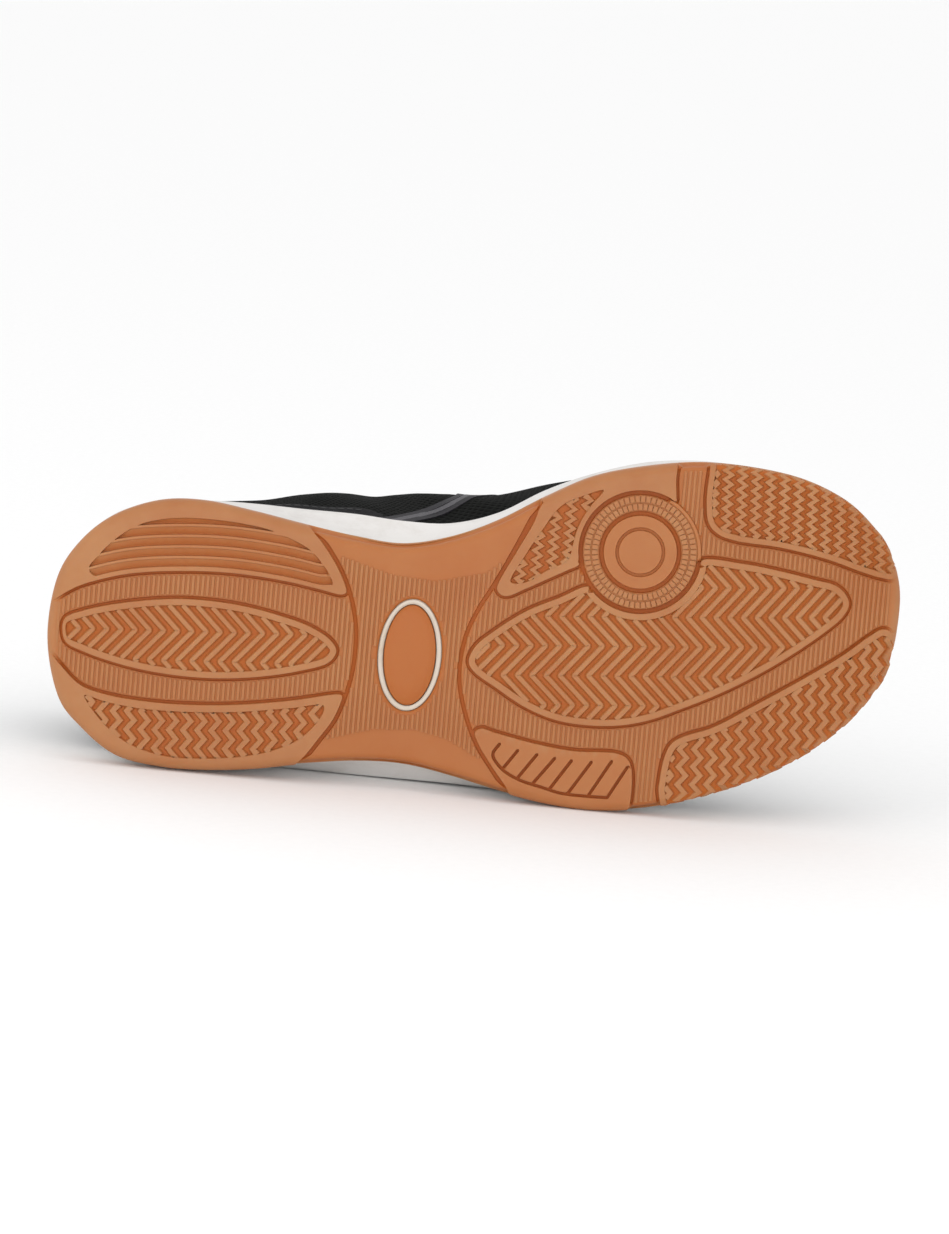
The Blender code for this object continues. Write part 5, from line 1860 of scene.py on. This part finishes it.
@dataclass
class Upper:
    """Black mesh upper with lining, synthetic overlays, one grey stripe, stitching and eyelets."""

    samples: int = 8
    overlay: float = 0.7
    eyestay: float = 0.8
    stay_width: float = 13.5
    eyelet_depth: float = 5.6
    eyelet_rows: Run = (9.0, 10.0, 11.0, 12.0, 13.1, 14.4)
    stripe_width: float = 2.8
    stripe_step: float = 4.4
    stripe_foot: Pair = (93.7, 24.0)
    stripe_slant: Pair = (1.55, 0.45)
    stripe_bend: float = 19.0
    stripe_lift: float = 0.32
    stripe_depth: float = 0.7
    panel_foot: float = 0.05
    panel_under: float = -0.35
    toe_half: float = 13.4
    heel_half: float = 8.6
    throat_from: float = 8.7
    collar_seam: Pair = (8.2, 0.94)
    stay_seams: Pair = (1.8, 3.8)
    stitch: Triple = (2.6, 2.0, 0.5)
    eyelet_hole: float = 4.4
    eyelet_wire: float = 1.0
    crown_rise: float = 0.38
    lining_shares: Run = (1.0, 0.96, 0.92, 0.86, 0.8, 0.74, 0.68, 0.62, 0.55, 0.45, 0.3, 0.15, 0.0)

    def shell(self) -> Object:
        """The hollow wall: mesh outside, rounded collar, lining inside.

        Returns:
            The piece.
        """
        ribs = UpperRibs(positions(self.samples))
        outer = [ribs.outside(v) for v in np.linspace(0.0, 1.0, 41)]
        inner = [ribs.inside(v) for v in self.lining_shares]
        wall = np.linalg.norm(outer[-1] - inner[0], axis=1)[:, None]
        rise = unit(outer[-1] - outer[-2]) * wall * self.crown_rise
        crown = []
        for turn in np.radians((30, 60, 90, 120, 150)):
            across = (1 - math.cos(turn)) / 2
            crown.append(outer[-1] * (1 - across) + inner[0] * across + rise * math.sin(turn))
        draft = loft([*outer, *crown, *inner], is_loop=True)
        change = len(outer) + len(crown)
        draft.worn = [0 if row < change else 1 for row in draft.worn]
        return make_piece("mesh_upper", draft, [MESH, LINING], 60.0)

    def panel(self, name: str, u: Points, low: Any, high: Any, thickness: float) -> Object:
        """A cut panel that lies on the mesh, with rounded edges.

        Args:
            name: name of the piece.
            u: row positions from one end to the other.
            low: its lower edge, as shares of the ribs.
            high: its upper edge likewise.
            thickness: how far it stands over the mesh.

        Returns:
            The piece.
        """
        shares = np.array([0.0, 0.012, 0.04, 0.15, 0.3, 0.45, 0.6, 0.75, 0.88, 0.96, 0.988, 1.0])
        lifts = thickness * np.array([0.35, 0.75, 1, 1, 1, 1, 1, 1, 1, 1, 0.75, 0.35])
        edge = np.clip(np.minimum(np.arange(len(u)), np.arange(len(u))[::-1]) / 2.0, 0.25, 1.0)
        ribs = UpperRibs(u)
        top = [ribs.outside(low + (high - low) * s, lift * edge) for s, lift in zip(shares, lifts)]
        under = [ribs.outside(low + (high - low) * s, self.panel_under) for s in shares[::-1]]
        sections = np.stack([*top, *under]).transpose(1, 0, 2)
        return make_piece(name, loft(list(sections), capped=True), [OVERLAY])

    @staticmethod
    def seam(u: Points, v: Any, lift: float) -> Path:
        """A line over the outer face with the directions that it faces."""
        ribs = UpperRibs(u)
        return ribs.outside(v, lift), ribs.facing(v)

    def build(self) -> None:
        """Makes the wall and everything sewn or pressed onto it."""
        settle(self.shell(), "black_textile", "upper")
        toe = np.linspace(self.toe_half, ROWS - self.toe_half, 90)
        heel = np.linspace(-self.heel_half, self.heel_half, 130)
        throat = np.linspace(self.throat_from, ROWS - self.throat_from, 150)
        toe_top = 0.1 + 0.28 * np.clip((7.6 - np.abs(toe - ROWS / 2)) / 4.2, 0, 1) ** 0.8
        heel_top = 0.2 + 0.42 * (0.5 + 0.5 * np.cos(np.clip(heel / 5.6, -1, 1) * math.pi)) ** 0.8
        ends = np.clip(np.minimum(throat - throat[0], throat[-1] - throat) / 0.5, 0, 1)
        stay = self.stay_width * (0.6 + 0.4 * np.sqrt(1 - (1 - ends) ** 2))
        insets = 0.0, *self.stay_seams
        stay_low, *stay_lines = (UpperRibs(throat).below_top(stay - inset) for inset in insets)
        for name, u, low, high, thickness in (
            ("toe_overlay", toe, self.panel_foot, toe_top, self.overlay),
            ("heel_counter", heel, self.panel_foot, heel_top, self.overlay),
            ("eyestay", throat, stay_low, 0.99, self.eyestay),
        ):
            settle(self.panel(name, u, low, high, thickness), "black_textile")
        collar, collar_share = self.collar_seam
        inner = slice(4, -4)
        seams = [self.seam(u[inner], v[inner], lift) for u, v, lift in (
            (toe, toe_top - 0.02, self.overlay), (toe, toe_top - 0.05, self.overlay),
            (heel, heel_top - 0.03, self.overlay), *((throat, line, self.eyestay) for line in stay_lines))]
        seams.append(self.seam(np.linspace(-collar, collar, 120), collar_share, 0.0))
        pitch, length, thickness = self.stitch
        settle(stitch_tree().make("upper_stitches", seams, THREAD, pitch=pitch, length=length,
                                  thickness=thickness), "black_textile")
        self.stripes()
        self.eyelets()

    def stripe(self, side: Side, step: float) -> Path:
        """A line over one side of the upper that slants to the toe, and less so higher up.

        Args:
            side: side of the foot.
            step: how far it lies ahead of the middle of the stripe.

        Returns:
            Its points and the directions that they face.
        """
        v = np.linspace(0.04, 0.84, 40)
        rows = np.linspace(7.5, 15.0, 301)
        ribs = UpperRibs(rows if side is Side.OUTER else ROWS - rows)
        low, high = self.stripe_slant
        found = []
        for share in v:
            x, _, z = ribs.on(ribs.handles, np.full(len(rows), share)).T
            rise = z - self.stripe_foot[1]
            lead = low * np.minimum(rise, self.stripe_bend) + high * np.maximum(rise - self.stripe_bend, 0.0)
            found.append(np.interp(self.stripe_foot[0] + step, np.maximum.accumulate(x - lead), ribs.u))
        u = np.array(found)
        for _ in range(12):
            u[1:-1] = 0.5 * u[1:-1] + 0.25 * (u[:-2] + u[2:])
        return self.seam(u, v, self.stripe_lift)

    def stripes(self) -> None:
        """One slanting stripe of film on each side, between two darker borders."""
        beside = -self.stripe_step, self.stripe_step
        for name, finish, steps in (("side_stripes", STRIPE, (0.0,)), ("stripe_borders", BORDER, beside)):
            paths = [self.stripe(side, step) for side in Side for step in steps]
            settle(ridge_tree().make(
                name, paths, finish, top_width=self.stripe_width, foot_width=self.stripe_width + 0.2,
                depth=self.stripe_depth, top_recess=0, foot_recess=0), "black_textile")

    def eyelets(self) -> None:
        """Pressed rings round the lace holes of both eyestays."""
        rows = np.array(self.eyelet_rows)
        u = np.concatenate([rows, ROWS - rows])
        spots = self.seam(u, UpperRibs(u).below_top(self.eyelet_depth), self.eyestay)
        settle(eyelet_tree().make("eyelets", [spots], EYELET, 60.0, hole=self.eyelet_hole,
                                  wire=self.eyelet_wire), "black_textile")


@dataclass
class Insole:
    """Sock liner on the footbed, with a soft rolled edge."""

    side: float = 6.5
    samples: int = 6
    rows: Rows = ((0.0, 0.3), (0.0, 2.6), (0.25, 3.4), (0.8, 3.9), (1.8, 4.0), (6.0, 3.7), (12.0, 3.5))

    def build(self) -> None:
        """Makes the liner."""
        lip = plan_loop(Outline.LIP, positions(self.samples))
        rings = [ring_at(grown(lip, -self.side - inset), "bed", lift) for inset, lift in self.rows]
        settle(make_piece("sock_liner", loft(rings, capped=True), [SOCK]), "dark_lining", "insole")


@dataclass
class Tongue:
    """Padded mesh tongue under the eyestays, standing above the top eyelets."""

    thickness: float = 4.0
    under: float = 9.0
    clearance: float = 0.6
    crown: float = 2.0
    first_row: float = 9.0
    last_row: float = 20.0
    tuck_run: float = 30.0
    top_tuck: float = 0.2
    bend: float = 0.6
    across: int = 21
    top: Rows = (
        (27.4, 0.3), (27.2, 0.58), (26.4, 0.86), (24.6, 1.06), (21.5, 1.18), (17.0, 1.2), (11.0, 1.04),
        (5.5, 0.78))
    climb: Triple = (-0.74, 0.0, 0.67)

    def sections(self) -> list[Points]:
        """Cross sections of the upper face, from the free top edge down to the front tip.

        Returns:
            For each section, points from one edge to the other.
        """
        rows = np.arange(self.first_row, self.last_row + 0.01, 0.5)
        both = []
        for u in (rows, ROWS - rows):
            ribs = UpperRibs(u)
            reach = np.linalg.norm(ribs.on(ribs.handles, 1.0) - ribs.on(ribs.handles, 0.9), axis=1) / 0.1
            tuck = np.clip((ribs.station - ribs.station[0]) / self.tuck_run, self.top_tuck, 1.0)
            both.append([ribs.inside(v, self.clearance) for v in (1 - self.under * tuck / reach, 1.0)])
        (under_a, edge_a), (under_b, edge_b) = both
        middle = (edge_a + edge_b) / 2
        width = np.linalg.norm(edge_a - edge_b, axis=1)
        middle[:, 2] += self.crown * width / width.max()
        base = middle[0]
        first = np.stack([under_a[0], edge_a[0], base, edge_b[0], under_b[0]])
        drawn = []
        for climb, share in flowing(self.top, False):
            shape = np.array([self.bend, share, self.bend])
            drawn.append(base + np.array(self.climb) * climb + (first - base) * shape)
        drawn += [np.stack(row) for row in zip(under_a, edge_a, middle, edge_b, under_b)]
        spots = np.linspace(0, 4, self.across)
        return [np.column_stack([np.interp(spots, range(5), axis) for axis in row.T]) for row in drawn]

    def build(self) -> None:
        sheet = np.stack(self.sections())
        for _ in range(2):
            sheet[:, 1:-1] = 0.5 * sheet[:, 1:-1] + 0.25 * (sheet[:, :-2] + sheet[:, 2:])
        normal = unit(np.cross(np.gradient(sheet, axis=0), np.gradient(sheet, axis=1)))
        if normal[:, self.across // 2, 2].mean() < 0:
            normal = -normal
        # The part that stands above the throat is thickened one way, so that its tip stays clean
        standing = len(flowing(self.top, False))
        normal[:standing] = normal[standing]
        side = np.abs(np.linspace(-1, 1, self.across))
        thick = self.thickness * np.sqrt(np.clip(1.02 - side**4, 0.04, 1))[None, :, None]
        free = np.clip(np.arange(len(sheet)) / 5.0, 0, 1)
        lower = sheet - normal * thick * (0.35 + 0.65 * np.sqrt(1 - (1 - free) ** 2))[:, None, None]
        rings = [np.concatenate([a, b[::-1]]) for a, b in zip(sheet, lower)]
        piece = make_piece("padded_tongue", loft(rings, capped=True), [MESH], 70.0)
        settle(piece, "black_textile", "tongue")


@dataclass
class Laces:
    """Flat braided lace, crossed from the front bar to the top eyelets, where it ends."""

    upper: Upper
    width: float = 3.9
    thickness: float = 1.7
    stand: float = 1.9
    edge_rise: float = 0.9
    bend: float = 2.0
    turn_run: float = 5.0
    crossing: Pair = (-0.75, 0.85)

    def strands(self) -> list[Path]:
        """Paths of the front bar and the crossing strands.

        Returns:
            Points and directions of each strand.
        """
        rows = np.array(self.upper.eyelet_rows)
        sides = [UpperRibs(rows), UpperRibs(ROWS - rows)]
        shares = [side.below_top(self.upper.eyelet_depth) for side in sides]
        out = [side.facing(share) for side, share in zip(sides, shares)]
        holes = [side.outside(share) for side, share in zip(sides, shares)]
        edges = [side.outside(1.0) + side.facing(1.0) * (self.stand + self.edge_rise) for side in sides]
        last = len(rows) - 1
        plan = [(0, 1, last, last, 0.0)]
        for row in range(last, 0, -1):
            plan += [(0, 1, row, row - 1, self.crossing[0]), (1, 0, row, row - 1, self.crossing[1])]
        made = []
        for near, far, start, end, over in plan:
            low = edges[near][start] * 0.7 + edges[near][end] * 0.3
            high = edges[far][end] * 0.7 + edges[far][start] * 0.3
            middle = (edges[0][start] + edges[0][end] + edges[1][start] + edges[1][end]) / 4
            middle = middle + np.array([0.0, 0.0, 1.0 + over])
            bends, turns = [], []
            for hole, normal, toward in (
                (holes[near][start], out[near][start], low), (holes[far][end], out[far][end], high),
            ):
                ahead = unit(toward - hole - normal * ((toward - hole) @ normal))
                bends.append([hole - normal * 2.0, hole + normal * 0.5 + ahead * 0.2,
                              hole + normal * self.stand + ahead * self.bend])
                turns.append((normal, ahead))
            path = flowing([*bends[0], low, middle, high, *bends[1][::-1]], False, 0.8)
            run = run_along(path)[:, None]
            blend = run / run[-1]
            facing = turns[0][0] * (1 - blend) + turns[1][0] * blend
            for gap, (_, ahead) in zip((run, run[-1] - run), turns):
                facing = facing - ahead * np.clip(1 - gap / self.turn_run, 0, 1)
            made.append((path, unit(facing)))
        return made

    def build(self) -> None:
        """Makes the lace."""
        settle(cord_tree().make("braided_laces", self.strands(), LACE, 60.0, width=self.width,
                                thickness=self.thickness), "black_cord", "laces")


@dataclass
class Studio:
    """White floor, soft lamps and the camera of the product view."""

    floor_half: float = 60.0
    room: float = 1.02
    lens: float = 150.0
    sensor: float = 36.0
    frame_height: float = 0.3594
    lean: float = 5.0
    look_at: Triple = (124.95, -6.0, 0.0)

    def floor(self) -> None:
        """Lays a wide sheet of paper under and behind the shoe."""
        mesh = bpy.data.meshes.new("studio_floor")
        half = self.floor_half
        corners = [(-half, -half, 0.0), (half, -half, 0.0), (half, half, 0.0), (-half, half, 0.0)]
        mesh.from_pydata(corners, [], [(0, 1, 2, 3)])
        mesh.materials.append(StudioPaper().material)
        sheet = bpy.data.objects.new("studio_floor", mesh)
        bpy.context.scene.collection.objects.link(sheet)

    def lamp(self, name: str, place: Triple, size: float, power: float) -> None:
        """Hangs a square softbox that points at the shoe.

        Args:
            name: name of the lamp.
            place: where it hangs, in metres.
            size: its width in metres.
            power: its power in watts.
        """
        data = bpy.data.lights.new(name, "AREA")
        data.size, data.energy = size, power
        lamp = bpy.data.objects.new(name, data)
        lamp.location = place
        lamp.rotation_euler = (Vector((0.0, 0.0, 0.05)) - Vector(place)).to_track_quat("-Z", "Y").to_euler()
        bpy.context.scene.collection.objects.link(lamp)

    def light(self) -> None:
        """Hangs the lamps and fills the room with white."""
        world = bpy.data.worlds.new("studio_room")
        world.use_nodes = True
        sky = world.node_tree.nodes["Background"].inputs
        sky["Color"].default_value = linear("#FFFFFF")
        sky["Strength"].default_value = self.room
        bpy.context.scene.world = world
        self.lamp("softbox_above", (-0.9, -1.4, 0.9), 0.9, 4.0)
        self.lamp("softbox_low", (-0.1, -1.15, 0.04), 0.6, 5.0)

    def camera(self) -> None:
        """Sets the camera square to the tread, leaning a little to the inner side."""
        data = bpy.data.cameras.new("product_camera")
        data.lens, data.sensor_width = self.lens, self.sensor
        data.clip_start, data.clip_end = 0.01, 50.0
        turn = LYING.to_3x3()
        lean = math.radians(self.lean)
        back = turn @ Vector((0.0, -math.sin(lean), -math.cos(lean)))
        right = turn @ Vector((1.0, 0.0, 0.0))
        away = self.frame_height * self.lens / self.sensor
        spot = LYING @ (Vector(self.look_at) * MM) + back * away
        pose = Matrix((right, back.cross(right), back)).transposed().to_4x4()
        pose.translation = spot
        camera = bpy.data.objects.new("product_camera", data)
        camera.matrix_world = pose
        bpy.context.scene.collection.objects.link(camera)
        bpy.context.scene.camera = camera

    def build(self) -> None:
        """Sets up floor, light, colour and camera."""
        bpy.context.scene.view_settings.view_transform = "Standard"
        self.floor()
        self.light()
        self.camera()


def main() -> None:
    """Builds the shoe's sub-assemblies in order, then the studio."""
    logging.basicConfig(level=logging.INFO, format="%(name)s: %(message)s")
    tread, upper = Tread(), Upper()
    for assembly in (
        Outsole(tread), WindowPlug(tread), Midsole(tread), upper, Insole(), Tongue(), Laces(upper), Studio(),
    ):
        assembly.build()


if __name__ == "__main__":
    main()
